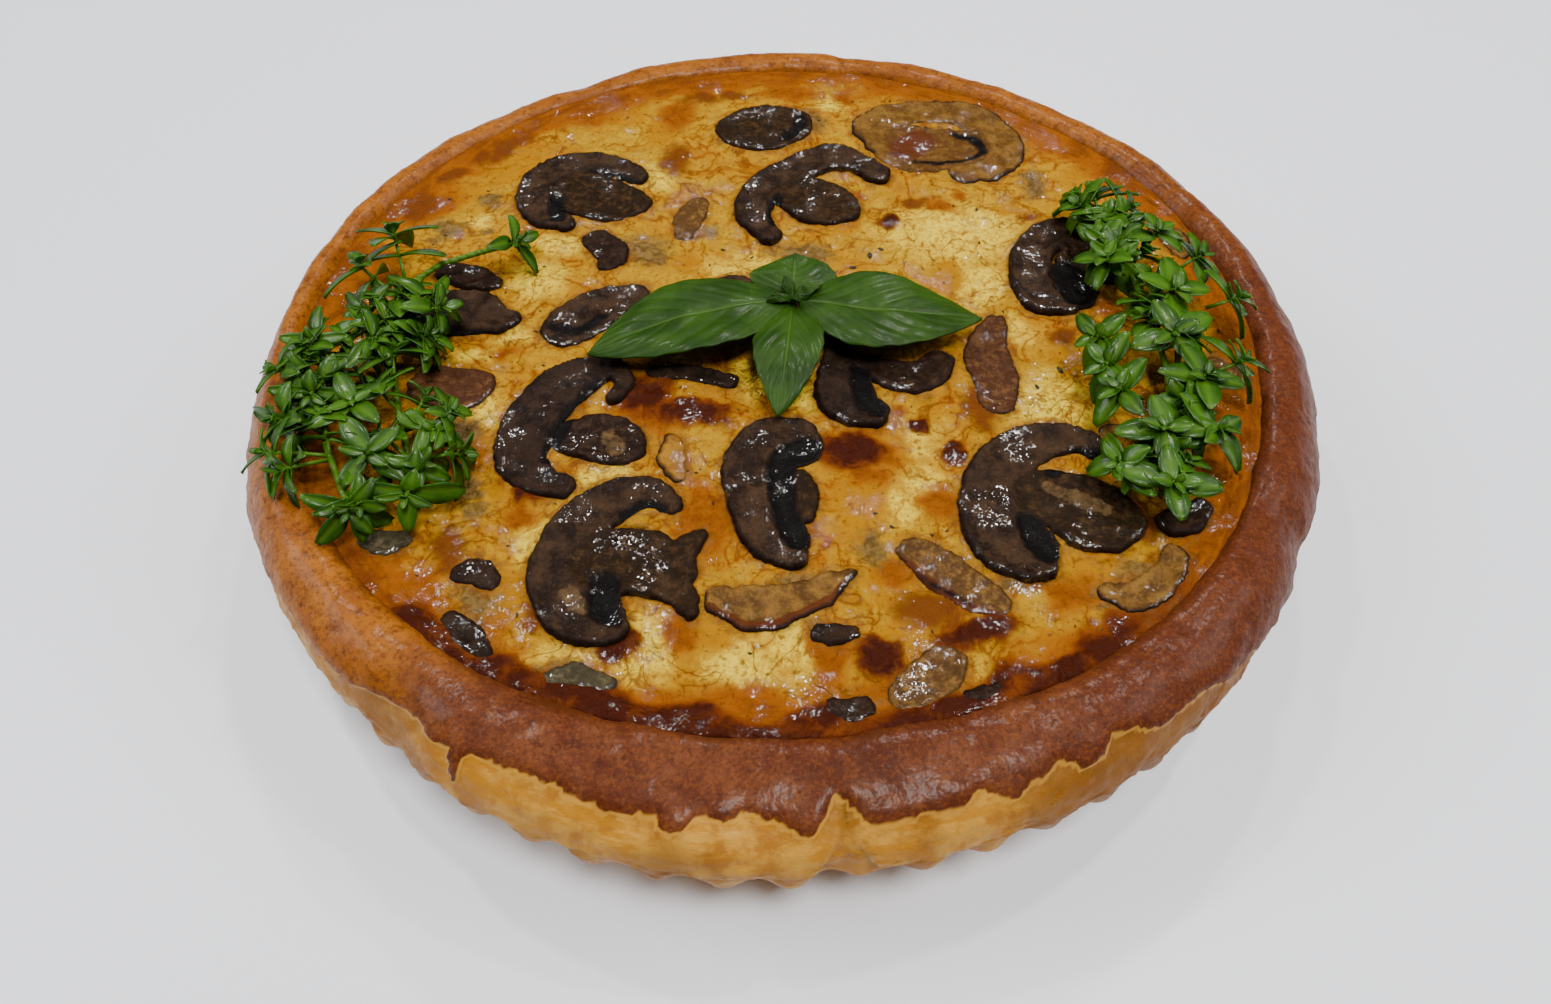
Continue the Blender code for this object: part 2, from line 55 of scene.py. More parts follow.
def bump(angle, centre_degrees, width_degrees):
    """A soft local bump of height 1 round one direction of the quiche."""
    away = (math.degrees(angle) - centre_degrees + 180.0) % 360.0 - 180.0
    return math.exp(-((away / width_degrees) ** 2))


def smooth(low, high, value):
    """0 below low, 1 above high, and a smooth step between them."""
    share = min(max((value - low) / (high - low), 0.0), 1.0)
    return share * share * (3.0 - 2.0 * share)


def rim_radius(angle):
    wobble = 0.5 * math.sin(3.0 * angle + 0.6) + 0.4 * math.sin(7.0 * angle + 1.9)
    shoulder = 1.5 * bump(angle, 132.0, 22.0)
    return RIM_RADIUS - 0.9 * math.cos(2.0 * angle) + wobble + shoulder


def edge_radius(angle):
    """Radius at which the custard meets the rim."""
    shift = 4.0 * math.sin(angle) - 1.5 * math.cos(angle)
    return 109.6 + shift + 2.2 * math.cos(2.0 * angle) + 2.5 * bump(angle, -45.0, 25.0)


def wall_radius(angle):
    """Radius of the inner wall, on which the custard lies."""
    return min(rim_radius(angle) - 17.0, edge_radius(angle) - 0.5)


def crease(angle):
    """Depth of the pinched folds across the rim."""
    folds = 1.6 * bump(angle, -127.0, 3.0) + 1.2 * bump(angle, -29.0, 3.0)
    return folds + 1.3 * bump(angle, 118.0, 4.0) + 1.1 * bump(angle, 46.0, 4.0)


def rim_height(angle):
    wobble = 0.6 * math.sin(2.0 * angle + 0.8) + 0.5 * math.sin(5.0 * angle)
    return RIM_HEIGHT + wobble - 0.6 * crease(angle)


def case_section(angle):
    """Corners of the case's section in one direction: base, wall, lip, rim, inner wall, floor."""
    outer = rim_radius(angle)
    edge = edge_radius(angle)
    pleat = math.cos(FLUTES * angle)
    top = rim_height(angle)
    split = 0.9 * bump(angle, -85.3, 2.0)
    fold = crease(angle)
    lip_drop = 0.9 * pleat + 0.5 * math.sin(11.0 * angle)
    return [
        (outer - 20.5 + 0.6 * pleat, 0.0),
        (outer - 15.2 + 1.2 * pleat, 11.0),
        (outer - 11.5 + 1.5 * pleat, LIP_HEIGHT - 0.6),
        (outer - 3.2 + 1.1 * pleat - split, LIP_HEIGHT - lip_drop + 0.6 * split),
        (outer - 0.5 + 0.6 * pleat - split, 24.4),
        (outer - 0.5 * split - fold, 29.0),
        (outer - 3.4 - 0.3 * split - fold, top - 3.6),
        (0.5 * (outer - 3.4) + 0.5 * edge, top),
        (edge, EDGE_HEIGHT + 0.8),
        (wall_radius(angle), LIP_HEIGHT),
        (outer - 26.0, 5.0),
    ]


def section_point(corners, place):
    """Point on a smooth curve through the section's corners, counted in corners."""
    index = min(int(place), len(corners) - 2)
    share = place - index
    before = corners[max(index - 1, 0)]
    start, end = corners[index], corners[index + 1]
    after = corners[min(index + 2, len(corners) - 1)]
    result = []
    for k in range(2):
        bend = (
            (-before[k] + 3.0 * start[k] - 3.0 * end[k] + after[k]) * share ** 3
            + (2.0 * before[k] - 5.0 * start[k] + 4.0 * end[k] - after[k]) * share ** 2
            + (end[k] - before[k]) * share)
        result.append(start[k] + 0.5 * bend)
    return result


# Where the browning ends, counted in the section's corners, at directions in degrees
BROWNING = [
    (-180, 4.5), (-160, 4.7), (-146, 5.3), (-141.8, 5.5), (-136, 5.5), (-127.8, 5.92),
    (-123.5, 6.08), (-120.5, 6.0), (-119, 5.33), (-118.5, 6.17), (-115.8, 6.25), (-112, 6.33),
    (-105, 6.17), (-101.5, 6.3), (-99.8, 6.0), (-97.5, 6.42), (-96, 6.33), (-93.5, 6.5),
    (-91.5, 6.3), (-88.8, 6.0), (-85.8, 6.67), (-84.8, 6.42), (-83.2, 6.08), (-79, 6.17),
    (-76, 6.08), (-74, 6.25), (-71, 6.0), (-66, 6.25), (-64, 5.92), (-60.5, 6.25), (-55, 5.75),
    (-51, 5.8), (-47, 5.4), (-38, 4.9), (-25, 4.6), (0, 4.5), (40, 4.7), (90, 4.9), (140, 4.7),
    (180, 4.5),
]


def browning_end(angle):
    degrees = math.degrees(angle)
    for (start, first), (end, last) in zip(BROWNING, BROWNING[1:]):
        if degrees <= end:
            return first + (last - first) * smooth(start, end, degrees) + 0.12
    return BROWNING[-1][1] + 0.12


def split_depth(degrees, place):
    """The torn pocket under the rim, a little right of the front: 1 inside, 0 outside."""
    tall = min(max((6.75 - place) / 2.6, 0.0), 1.0)
    left = -85.5 - 3.4 * tall
    right = -85.1 + 2.6 * tall
    inside = min(degrees - left, right - degrees)
    return smooth(-0.1, 0.5, inside) * smooth(6.8, 6.5, place)


RIM_ORANGE = (0.250, 0.072, 0.006, 1.0)
RIM_GOLD = (0.360, 0.118, 0.008, 1.0)
RIM_RED = (0.095, 0.020, 0.005, 1.0)
RIM_ROSE = (0.145, 0.040, 0.011, 1.0)
RIM_DARK = (0.045, 0.009, 0.003, 1.0)
RIM_INSIDE_SHADE = (0.070, 0.017, 0.003, 1.0)
DOUGH_TAN = (0.350, 0.140, 0.014, 1.0)
DOUGH_CREAM = (0.540, 0.270, 0.036, 1.0)
# Colour of the painted reflection of a gold board below, streaked round the pale lip.
DOUGH_GOLD_REFLECTION = (0.430, 0.175, 0.006, 1.0)
DOUGH_SHADE = (0.170, 0.060, 0.010, 1.0)
RING_RADIUS = 105.0        # where the sizes of the noise round the rim hold good


class Finish:
    """A material made of nodes. Values are numbers, or other nodes' outputs."""

    def __init__(self, name, roughness, **sockets):
        """Sockets are values of the shader, by name with underscores."""
        self.material = bpy.data.materials.new(name)
        self.material.use_nodes = True
        self.tree = self.material.node_tree
        self.shader = self.tree.nodes["Principled BSDF"]
        for socket, value in dict(sockets, Roughness=roughness).items():
            self.shader.inputs[socket.replace("_", " ")].default_value = value

    def add(self, kind, inputs=(), **settings):
        """Adds a node; inputs gives, by number or name, a value or another node's output."""
        node = self.tree.nodes.new("ShaderNode" + kind)
        for setting, value in settings.items():
            setattr(node, setting, value)
        for socket, value in dict(inputs).items():
            if isinstance(value, bpy.types.NodeSocket):
                self.tree.links.new(value, node.inputs[socket])
            else:
                node.inputs[socket].default_value = value
        return node

    def mark(self, name):
        """Reads a value painted on the piece's points."""
        return self.add("Attribute", attribute_name=name).outputs["Fac"]

    def sums(self, operation, first, second=0.0):
        """Works out a sum of two values, such as ADD or MULTIPLY."""
        return self.add("Math", {0: first, 1: second}, operation=operation).outputs["Value"]

    def vector(self, operation, inputs, result="Vector"):
        return self.add("VectorMath", inputs, operation=operation).outputs[result]

    def noise(self, place, scale, detail=3.0, rough=0.55, warp=0.0):
        return self.add("TexNoise", {
            "Vector": place, "Scale": scale, "Detail": detail, "Roughness": rough,
            "Distortion": warp}).outputs["Fac"]

    def grain(self, size_mm, detail=3.0, rough=0.55, warp=0.0):
        """Noise with patches of about a size in millimetres."""
        place = self.add("TexCoord").outputs["Object"]
        return self.noise(place, 1000.0 / size_mm, detail, rough, warp)

    def ring_grain(self, across_mm, along_mm, detail=3.0, rough=0.55):
        """Noise drawn out round the quiche: its sizes towards the middle and along the rim."""
        place = self.add("TexCoord").outputs["Object"]
        flat = self.vector("MULTIPLY", {0: place, 1: (1.0, 1.0, 0.0)})
        radius = self.vector("LENGTH", {0: flat}, "Value")
        ray = self.vector("NORMALIZE", {0: flat})
        ray = self.vector("SCALE", {0: ray, "Scale": RING_RADIUS / along_mm})
        height = self.add("CombineXYZ", {
            "Z": self.sums("MULTIPLY", radius, 1000.0 / across_mm)}).outputs["Vector"]
        return self.noise(self.vector("ADD", {0: ray, 1: height}), 1.0, detail, rough)

    def fade(self, value, low, high, to_low=0.0, to_high=1.0):
        """Stretches a value so that low becomes 0 and high becomes 1, with a smooth step."""
        return self.add("MapRange", {
            "Value": value, "From Min": low, "From Max": high, "To Min": to_low,
            "To Max": to_high}, interpolation_type="SMOOTHSTEP").outputs["Result"]

    def ragged(self, value, texture, amount, low, high, most=1.0):
        """A painted value with its edge broken up by a texture, faded from 0 to most."""
        offset = self.sums("MULTIPLY", self.sums("SUBTRACT", texture, 0.5), amount)
        return self.fade(self.sums("ADD", value, offset), low, high, 0.0, most)

    def layers(self, colour, *coats):
        """Lays coats of (share, colour) over a colour, one on top of the other."""
        for share, coat in coats:
            colour = self.add(
                "Mix", {0: share, 6: colour, 7: coat}, data_type="RGBA").outputs[2]
        return colour

    def join(self, colour, roughness=None, heights=(), wet_heights=(), wet=None):
        """Joins the colour, roughness and relief to the shader; heights are (value, millimetres).

        The wet heights are the smoother relief of the oily film on top, and wet is its share."""
        joined = {"Base Color": colour, "Roughness": roughness, "Coat Weight": wet}
        for socket, reliefs in (("Normal", heights), ("Coat Normal", wet_heights)):
            for height, millimetres in reliefs:
                inputs = {"Height": height, "Distance": millimetres * MM, "Strength": 1.0}
                if joined.get(socket):
                    inputs["Normal"] = joined[socket]
                joined[socket] = self.add("Bump", inputs).outputs["Normal"]
        for socket, value in joined.items():
            if value is not None:
                self.tree.links.new(value, self.shader.inputs[socket])
        return self.material


def finish_piece(name, bm, material, nodes=()):
    """Turns a bmesh into a finished piece that stands for CAD nodes."""
    bmesh.ops.recalc_face_normals(bm, faces=bm.faces[:])
    mesh = bpy.data.meshes.new(name)
    bm.to_mesh(mesh)
    bm.free()
    mesh.shade_smooth()
    mesh.materials.append(material)
    piece = bpy.data.objects.new(name, mesh)
    bpy.context.scene.collection.objects.link(piece)
    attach(piece, "root")
    if nodes:
        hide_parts(*nodes)
    return piece


def make_case():
    bm = bmesh.new()
    corners = len(case_section(0.0))
    rows = (corners - 1) * SECTION_STEPS
    chain = [bm.verts.new((1.0, 0.0, row / SECTION_STEPS)) for row in range(rows + 1)]
    for lower, upper in zip(chain, chain[1:]):
        bm.edges.new((lower, upper))
    bmesh.ops.spin(
        bm, geom=bm.verts[:] + bm.edges[:], cent=(0, 0, 0), axis=(0, 0, 1),
        angle=2.0 * math.pi, steps=CASE_STEPS, use_merge=True, use_duplicate=False)
    baked = bm.verts.layers.float.new("baked")
    tone = bm.verts.layers.float.new("tone")
    inner = bm.verts.layers.float.new("inner")
    shade = bm.verts.layers.float.new("shade")
    sections = {}
    for vert in bm.verts:
        angle = math.atan2(vert.co.y, vert.co.x)
        key = round(angle * CASE_STEPS / (2.0 * math.pi))
        if key not in sections:
            sections[key] = (case_section(angle), browning_end(angle))
        section, end = sections[key]
        place = vert.co.z
        degrees = math.degrees(angle)
        radius, height = section_point(section, place)
        ahead = section_point(section, min(place + 0.1, corners - 1))
        behind = section_point(section, max(place - 0.1, 0.0))
        slope = Vector((ahead[1] - behind[1], behind[0] - ahead[0])).normalized()
        spot = Vector((radius * math.cos(angle), radius * math.sin(angle), height))
        uneven = 0.14 * noise.noise(spot * 0.3) + 0.06 * noise.noise(spot * 0.9)
        browned = smooth(end - 0.08, end + 0.08, place + uneven)
        pocket = split_depth(degrees, place)
        on_rim = smooth(3.4, 4.2, place) * smooth(9.0, 8.3, place)
        lumps = 0.7 * noise.noise(spot * 0.06) + 0.35 * noise.noise(spot * 0.17)
        skin = 0.16 * noise.noise(spot * 0.55) + 0.07 * noise.noise(spot * 1.7)
        folds = 0.4 * noise.noise(Vector((angle * 26.0, place * 5.0, 3.0)))
        wrinkle = 0.35 * (1.0 - browned) * noise.noise(Vector((angle * 60.0, place * 9.0, 0.0)))
        out = on_rim * (lumps + skin + wrinkle + folds * smooth(6.2, 4.8, place) - 0.8
                        + 0.9 * browned)
        crinkle = 0.3 * math.sin(3.4 * degrees) * smooth(6.4, 5.0, place)
        out -= (1.7 - crinkle) * pocket * smooth(3.0, 4.4, place)
        radius += slope.x * out
        height += slope.y * out
        flat = smooth(0.0, 0.6, place)
        vert.co = Vector((
            radius * math.cos(angle), radius * math.sin(angle), height if flat else 0.0)) * MM
        vert[baked] = browned * (1.0 - pocket)
        # The browned roll turns darker red-brown on the front and right: partly real browning,
        # partly painted shade.
        front = smooth(-150.0, -105.0, degrees) * smooth(35.0, -15.0, degrees)
        vert[tone] = min(front + 0.25 * bump(angle, -160.0, 12.0), 1.0)
        # Painted shade: the lip and the roll are darker on the right side.
        vert[shade] = smooth(-80.0, -50.0, degrees) * smooth(60.0, 10.0, degrees)
        # Painted shade on the roll's inner slope where it meets the custard, strongest round the
        # front half.
        shaded = 0.2 + 0.8 * smooth(-175.0, -150.0, degrees) * smooth(-10.0, -40.0, degrees)
        vert[inner] = shaded * smooth(7.55, 8.05, place + 0.25 * noise.noise(spot * 0.2))
    rims = [edge for edge in bm.edges if edge.is_boundary]
    bmesh.ops.holes_fill(bm, edges=rims, sides=0)
    return bm


def pastry_finish():
    look = Finish(
        "baked_pastry", 0.5, Subsurface_Weight=0.1, Subsurface_Scale=0.003,
        Subsurface_Radius=(1.0, 0.4, 0.15), Specular_IOR_Level=0.1, Coat_Weight=0.12,
        Coat_Roughness=0.22)
    baked, tone, inner, shade = map(look.mark, ("baked", "tone", "inner", "shade"))
    fine = look.grain(0.8, 4.0, 0.65)
    pores = look.grain(2.2, 5.0, 0.7)
    middle = look.grain(7.0, 4.0, 0.6)
    broad = look.grain(30.0, 3.0, 0.5)
    strands = look.ring_grain(1.6, 9.0, 4.0, 0.6)
    red = look.layers(
        RIM_RED,
        (look.fade(middle, 0.38, 0.66), RIM_ROSE),
        (look.fade(broad, 0.5, 0.72, 0.0, 0.7), RIM_DARK))
    brown = look.layers(
        RIM_ORANGE,
        (look.fade(middle, 0.35, 0.68), RIM_GOLD),
        # Darker red-brown towards the front and right: partly real browning, partly painted shade.
        (look.ragged(tone, broad, 0.6, 0.3, 0.75), red),
        # Painted shade on the right side of the roll.
        (look.ragged(shade, broad, 1.0, 0.1, 1.0, 0.7), RIM_RED),
        (look.fade(pores, 0.48, 0.68, 0.0, 0.6), RIM_DARK),
        (look.fade(fine, 0.5, 0.62, 0.0, 0.42), RIM_DARK),
        (look.fade(fine, 0.48, 0.36, 0.0, 0.3), RIM_ORANGE))
    torn = look.sums("MULTIPLY", look.fade(baked, 0.02, 0.2), look.fade(baked, 0.75, 0.45))
    colour = look.layers(
        DOUGH_TAN,
        (look.fade(middle, 0.4, 0.62), DOUGH_CREAM),
        # Painted reflection: golden streaks round the pale lip, from a gold board below.
        (look.fade(strands, 0.5, 0.6, 0.0, 0.8), DOUGH_GOLD_REFLECTION),
        (look.fade(broad, 0.5, 0.62, 0.0, 0.6), DOUGH_SHADE),
        # Painted shade on the right side of the pale lip.
        (look.ragged(shade, middle, 0.8, 0.1, 0.7, 0.85), DOUGH_SHADE),
        (look.sums("MULTIPLY", torn, 0.6), DOUGH_CREAM),
        (look.fade(baked, 0.35, 0.7), brown),
        # Painted shade on the roll's inner slope.
        (look.sums("MULTIPLY", inner, 0.85), RIM_INSIDE_SHADE))
    return look.join(
        colour, look.fade(pores, 0.3, 0.7, 0.36, 0.56),
        [(middle, 0.5), (pores, 0.3), (fine, 0.14)],
        [(look.grain(5.0, 1.0, 0.5), 0.2), (look.grain(1.2, 1.0, 0.5), 0.1)])


finish_piece("pastry_case", make_case(), pastry_finish(), ["crust"])


# Custard filling
# Egg, cream and cheese baked in the case. Its top rose, wrinkled and sank again, browned in
# blisters and along the rim, and took up the grey juice of the mushrooms.

CUSTARD_RADIUS = 114.0
CUSTARD_STEPS = 285        # squares across the custard, 0.8 mm each
FILLING_HEIGHT = 36.4
OVERLAP = 1.2              # how far the custard reaches into the rim
PATCH_REACH = 1.7          # how far a patch fades out, in its own half sizes
PATCH_CELL = 10

# Swellings of the baked top: x, y, radius, height
BLISTERS = [
    (-23, -25, 13, 1.2), (16, -37, 9, 1.0), (16, -88, 8, 1.0), (44, -80, 12, 0.9),
    (66, -84, 10, 0.8), (-78, -72, 12, 0.9), (-96, -36, 9, 0.8), (40, 30, 14, 0.5),
    (-30, 78, 14, 0.6), (84, 56, 12, 0.6), (-62, -52, 9, 0.7), (-10, -92, 10, 0.8),
    (20.5, -36.5, 1.8, 0.8), (27, -25.5, 2.4, 0.8), (22, 52, 2.2, 0.7), (31.5, -30, 2.6, 0.8),
    (37.5, -38.5, 3.4, 0.8), (29, 40, 3.5, 0.7), (16, 84, 2.4, 0.7), (17.5, -88, 4.5, 0.9),
]

# Patches on the top: x, y, half length, half width and turn in degrees, from pale to burnt
PATCHES = {
    "white": [(-73, -6, 7, 3), (-63, 0, 5, 3), (-66, -22, 4, 9), (-52, -60, 4, 7),
        (-51.5, -87, 10, 2.5, -35), (-38, -87, 10, 4), (-27, -87, 6, 9), (-8, -90, 8, 6),
        (-8, -15, 4, 9), (-38, -43, 7, 3), (24, -52, 4, 5), (33, -35, 5, 6), (30, -45, 5, 4),
        (0, -85, 6, 8), (35, -95, 5, 5), (55, 0, 5, 5), (60, -25, 11, 9), (-33, 60, 5, 7),
        (-60, 20, 7, 8), (-55, 33, 6, 4), (17, 95, 4, 6), (74, 74, 5, 3), (45, 35, 18, 12),
        (50, 15, 7, 7), (-78, 44, 5, 3), (-10, 25, 9, 4), (62, -60, 4, 5), (5, -20, 4, 7)],
    "yellow": [(-59, -47, 3, 3.5), (15, -50, 5, 9), (20, -72, 6, 4), (23, -82, 5, 3.5),
        (62, -68, 7, 5), (52, -85, 5, 4), (-72, 67, 10, 6, 45), (-83, 55, 6, 5), (-42, 92, 5, 6),
        (-33, 82, 4.5, 7.5), (-23, 25, 4, 3.5), (72, 82, 5, 4), (83, 57, 5.5, 6), (60, 45, 4, 3),
        (66, -9, 3.5, 5), (42, 18, 3, 6.5), (17, 38, 4, 3), (-14, -82, 4, 4),
        (-56, -72, 5, 7, 40)],
    "orange": [(-63, -6, 4, 2.2), (-72, -35, 9, 8), (-54, -53, 4, 3), (-55, -95, 10, 6),
        (-20, -82, 3.5, 5), (-17, -55, 7, 12), (18, -44, 4, 3), (33, -52, 5, 5),
        (22, -69, 5, 3.5), (8, -88, 4, 7), (57, -75, 6, 5), (85, -60, 9, 6, 60),
        (90, -45, 8, 5, 70), (97, -30, 8, 5, 75), (-75, -78, 11, 5, -45), (-85, -68, 8, 5, -45),
        (-95, -55, 8, 5, -60), (-55, 93, 10, 8), (-28, 90, 6, 8), (5, 100, 10, 4),
        (20, 97, 4.5, 4), (83, 70, 5, 4), (27, -25.5, 2, 2), (22, 52, 2, 2), (78, 7, 5, 3.5),
        (43, 47, 3, 2.5), (48, 51, 2, 2), (45, -62, 3, 3), (-30, -26, 9, 8), (16, -37, 10, 7),
        (-100, 20, 6, 10), (-90, 50, 8, 5, 60)],
    "grey": [(-67, -45, 4.5, 4), (-64, -52, 4, 3), (-61, -74, 4.5, 4.5), (-41, -91, 8, 3),
        (18.5, -63, 3.5, 5), (70, -75, 9, 8.5), (-77, 52, 4, 3), (-86, 40, 5, 5), (-75, 39, 3, 2),
        (10, 85, 5, 6), (68, 55, 3.5, 7), (-19, 37, 5, 3), (6, 28, 8, 5), (-35, 30, 9, 5),
        (-70, -30, 4, 5), (5, -71, 8, 3), (45, -72, 6, 3), (62, -35, 5, 3)],
    "burnt": [(-69, -62, 6, 5), (-75, 76, 9, 4, 45), (-82, 72, 3, 3), (-88, 63, 5, 2, 50),
        (-95, 50, 5, 7), (-22, 98, 6, 3.5), (-12, 100, 4, 3), (-28, 68, 5, 7), (92, 62, 4.5, 6),
        (37, 49, 4, 2.5), (65, 40, 3, 2), (28, -77, 8, 4.5), (-88, -63, 4, 1.5), (67, -3, 4, 3),
        (48, -92, 4, 2), (46, -97, 2, 2), (73, -58, 3, 5), (44, -25, 5.5, 7.5), (-50, -78, 3, 3)],
    "red": [(-30, -20, 6, 6), (-20, -26, 9, 4), (-53.5, -48, 3.5, 2.5), (15, -37, 7, 5),
        (31.5, -30, 2.2, 3), (37.5, -38.5, 3.2, 3), (17.5, -88, 4.6, 4.6),
        (37, -83, 8.5, 3.2, 20), (61, -87, 7, 4.5), (29, 40, 3, 3), (-33, -84, 4, 3.5),
        (-35, -97, 6, 3), (-103, -50, 7, 2, -60)],
}


def patch_share(x, y, patch):
    """1 in the middle of a patch, 0.5 at its edge, 0 well outside it."""
    px, py, half_length, half_width = patch[:4]
    turn = math.radians(patch[4]) if len(patch) > 4 else 0.0
    along = ((x - px) * math.cos(turn) + (y - py) * math.sin(turn)) / half_length
    across = ((y - py) * math.cos(turn) - (x - px) * math.sin(turn)) / half_width
    return smooth(PATCH_REACH, 0.3, math.hypot(along, across))


def cells_around(x, y, reach, size):
    """Numbers of the square cells within reach of a point, by which its neighbours are found."""
    columns = range(int((x - reach) // size), int((x + reach) // size) + 1)
    rows = range(int((y - reach) // size), int((y + reach) // size) + 1)
    return [(column, row) for column in columns for row in rows]


def new_points(extruded):
    """The points that an extrusion has made."""
    return [item for item in extruded["geom"] if isinstance(item, bmesh.types.BMVert)]


def drift(spot, shift):
    """How far the patches' outlines wander at a spot, along one axis."""
    away = Vector((0.0, 0.0, shift))
    return 2.6 * noise.noise(spot * 0.12 + away) + 1.3 * noise.noise(spot * 0.4 + away)


def custard_top(x, y):
    """Height of the baked top, which sags at the rim and creeps up on it at the last."""
    share = math.hypot(x, y) / edge_radius(math.atan2(y, x))
    level = FILLING_HEIGHT - (FILLING_HEIGHT - EDGE_HEIGHT) * min(share, 1.0) ** 12
    wave = math.sin(0.061 * x + 1.0) * math.cos(0.074 * y) + 0.6 * math.sin(0.13 * (x + y))
    swell = sum(
        height * math.exp(-((x - bx) ** 2 + (y - by) ** 2) / (0.5 * radius) ** 2 / 2.0)
        for bx, by, radius, height in BLISTERS)
    spot = Vector((x, y, 0.0))
    lumps = 0.75 * noise.noise(spot * 0.16) + 0.45 * noise.noise(spot * 0.42)
    lumps += 0.2 * noise.noise(spot * 1.1)
    calm = max(1.0 - share ** 6, 0.0)
    return (level + (0.35 * wave + swell) * calm + lumps * smooth(1.01, 0.93, share)
            + 1.5 * smooth(0.94, 1.005, share))


def make_custard():
    bm = bmesh.new()
    bmesh.ops.create_grid(
        bm, x_segments=CUSTARD_STEPS, y_segments=CUSTARD_STEPS, size=CUSTARD_RADIUS)
    outside = []
    for vert in bm.verts:
        angle = math.atan2(vert.co.y, vert.co.x)
        if math.hypot(vert.co.x, vert.co.y) > edge_radius(angle) + OVERLAP + 0.2:
            outside.append(vert)
    bmesh.ops.delete(bm, geom=outside, context="VERTS")
    cells = {}
    for name, patches in PATCHES.items():
        for patch in patches:
            reach = PATCH_REACH * max(patch[2:4]) + 4.0
            for cell in cells_around(*patch[:2], reach, PATCH_CELL):
                cells.setdefault(cell, []).append((name, patch))
    layers = {name: bm.verts.layers.float.new(name) for name in [*PATCHES, "margin", "juice_and_shade"]}
    for vert in bm.verts:
        x, y = vert.co.x, vert.co.y
        angle = math.atan2(y, x)
        radius = math.hypot(x, y)
        edge = edge_radius(angle)
        if vert.is_boundary:
            radius = edge + OVERLAP
            x, y = radius * math.cos(angle), radius * math.sin(angle)
        spot = Vector((x, y, 0.0))
        drift_x, drift_y = drift(spot, 5.0), drift(spot, 9.0)
        shares = dict.fromkeys(PATCHES, 0.0)
        for name, patch in cells.get((int(x // PATCH_CELL), int(y // PATCH_CELL)), ()):
            shares[name] = max(shares[name], patch_share(x + drift_x, y + drift_y, patch))
        vert[layers["margin"]] = smooth(0.86, 1.0, radius / edge + 0.05 * noise.noise(spot * 0.12))
        degrees = math.degrees(angle)
        front = smooth(-160.0, -125.0, degrees) * smooth(-30.0, -60.0, degrees)
        band = smooth(0.925, 0.985, radius / edge + 0.06 * noise.noise(spot * 0.09)) * front
        shares["red"] = max(shares["red"], band * (0.85 + 0.6 * noise.noise(spot * 0.2)))
        for name, share in shares.items():
            vert[layers[name]] = share
        raised = 0.5 * smooth(0.3, 0.8, shares["red"]) + 0.35 * smooth(0.3, 0.8, shares["burnt"])
        vert.co = Vector((x, y, custard_top(x, y) + raised)) * MM
    wall = bmesh.ops.extrude_edge_only(bm, edges=[e for e in bm.edges if e.is_boundary])
    for vert in new_points(wall):
        angle = math.atan2(vert.co.y, vert.co.x)
        radius = wall_radius(angle)
        vert.co = Vector((radius * math.cos(angle), radius * math.sin(angle), LIP_HEIGHT)) * MM
    bmesh.ops.holes_fill(bm, edges=[e for e in bm.edges if e.is_boundary], sides=0)
    return bm


CREAM = (0.430, 0.240, 0.006, 1.0)
BUTTER = (0.320, 0.145, 0.002, 1.0)
PALEST = (0.760, 0.540, 0.036, 1.0)
YOLK = (0.360, 0.150, 0.001, 1.0)
AMBER = (0.260, 0.072, 0.002, 1.0)
TOFFEE = (0.130, 0.034, 0.005, 1.0)
EMBER = (0.130, 0.026, 0.003, 1.0)
BURNT = (0.045, 0.008, 0.003, 1.0)
JUICE = (0.090, 0.052, 0.014, 1.0)
JUICE_LIGHT = (0.190, 0.115, 0.034, 1.0)
FLECK = (0.030, 0.018, 0.008, 1.0)


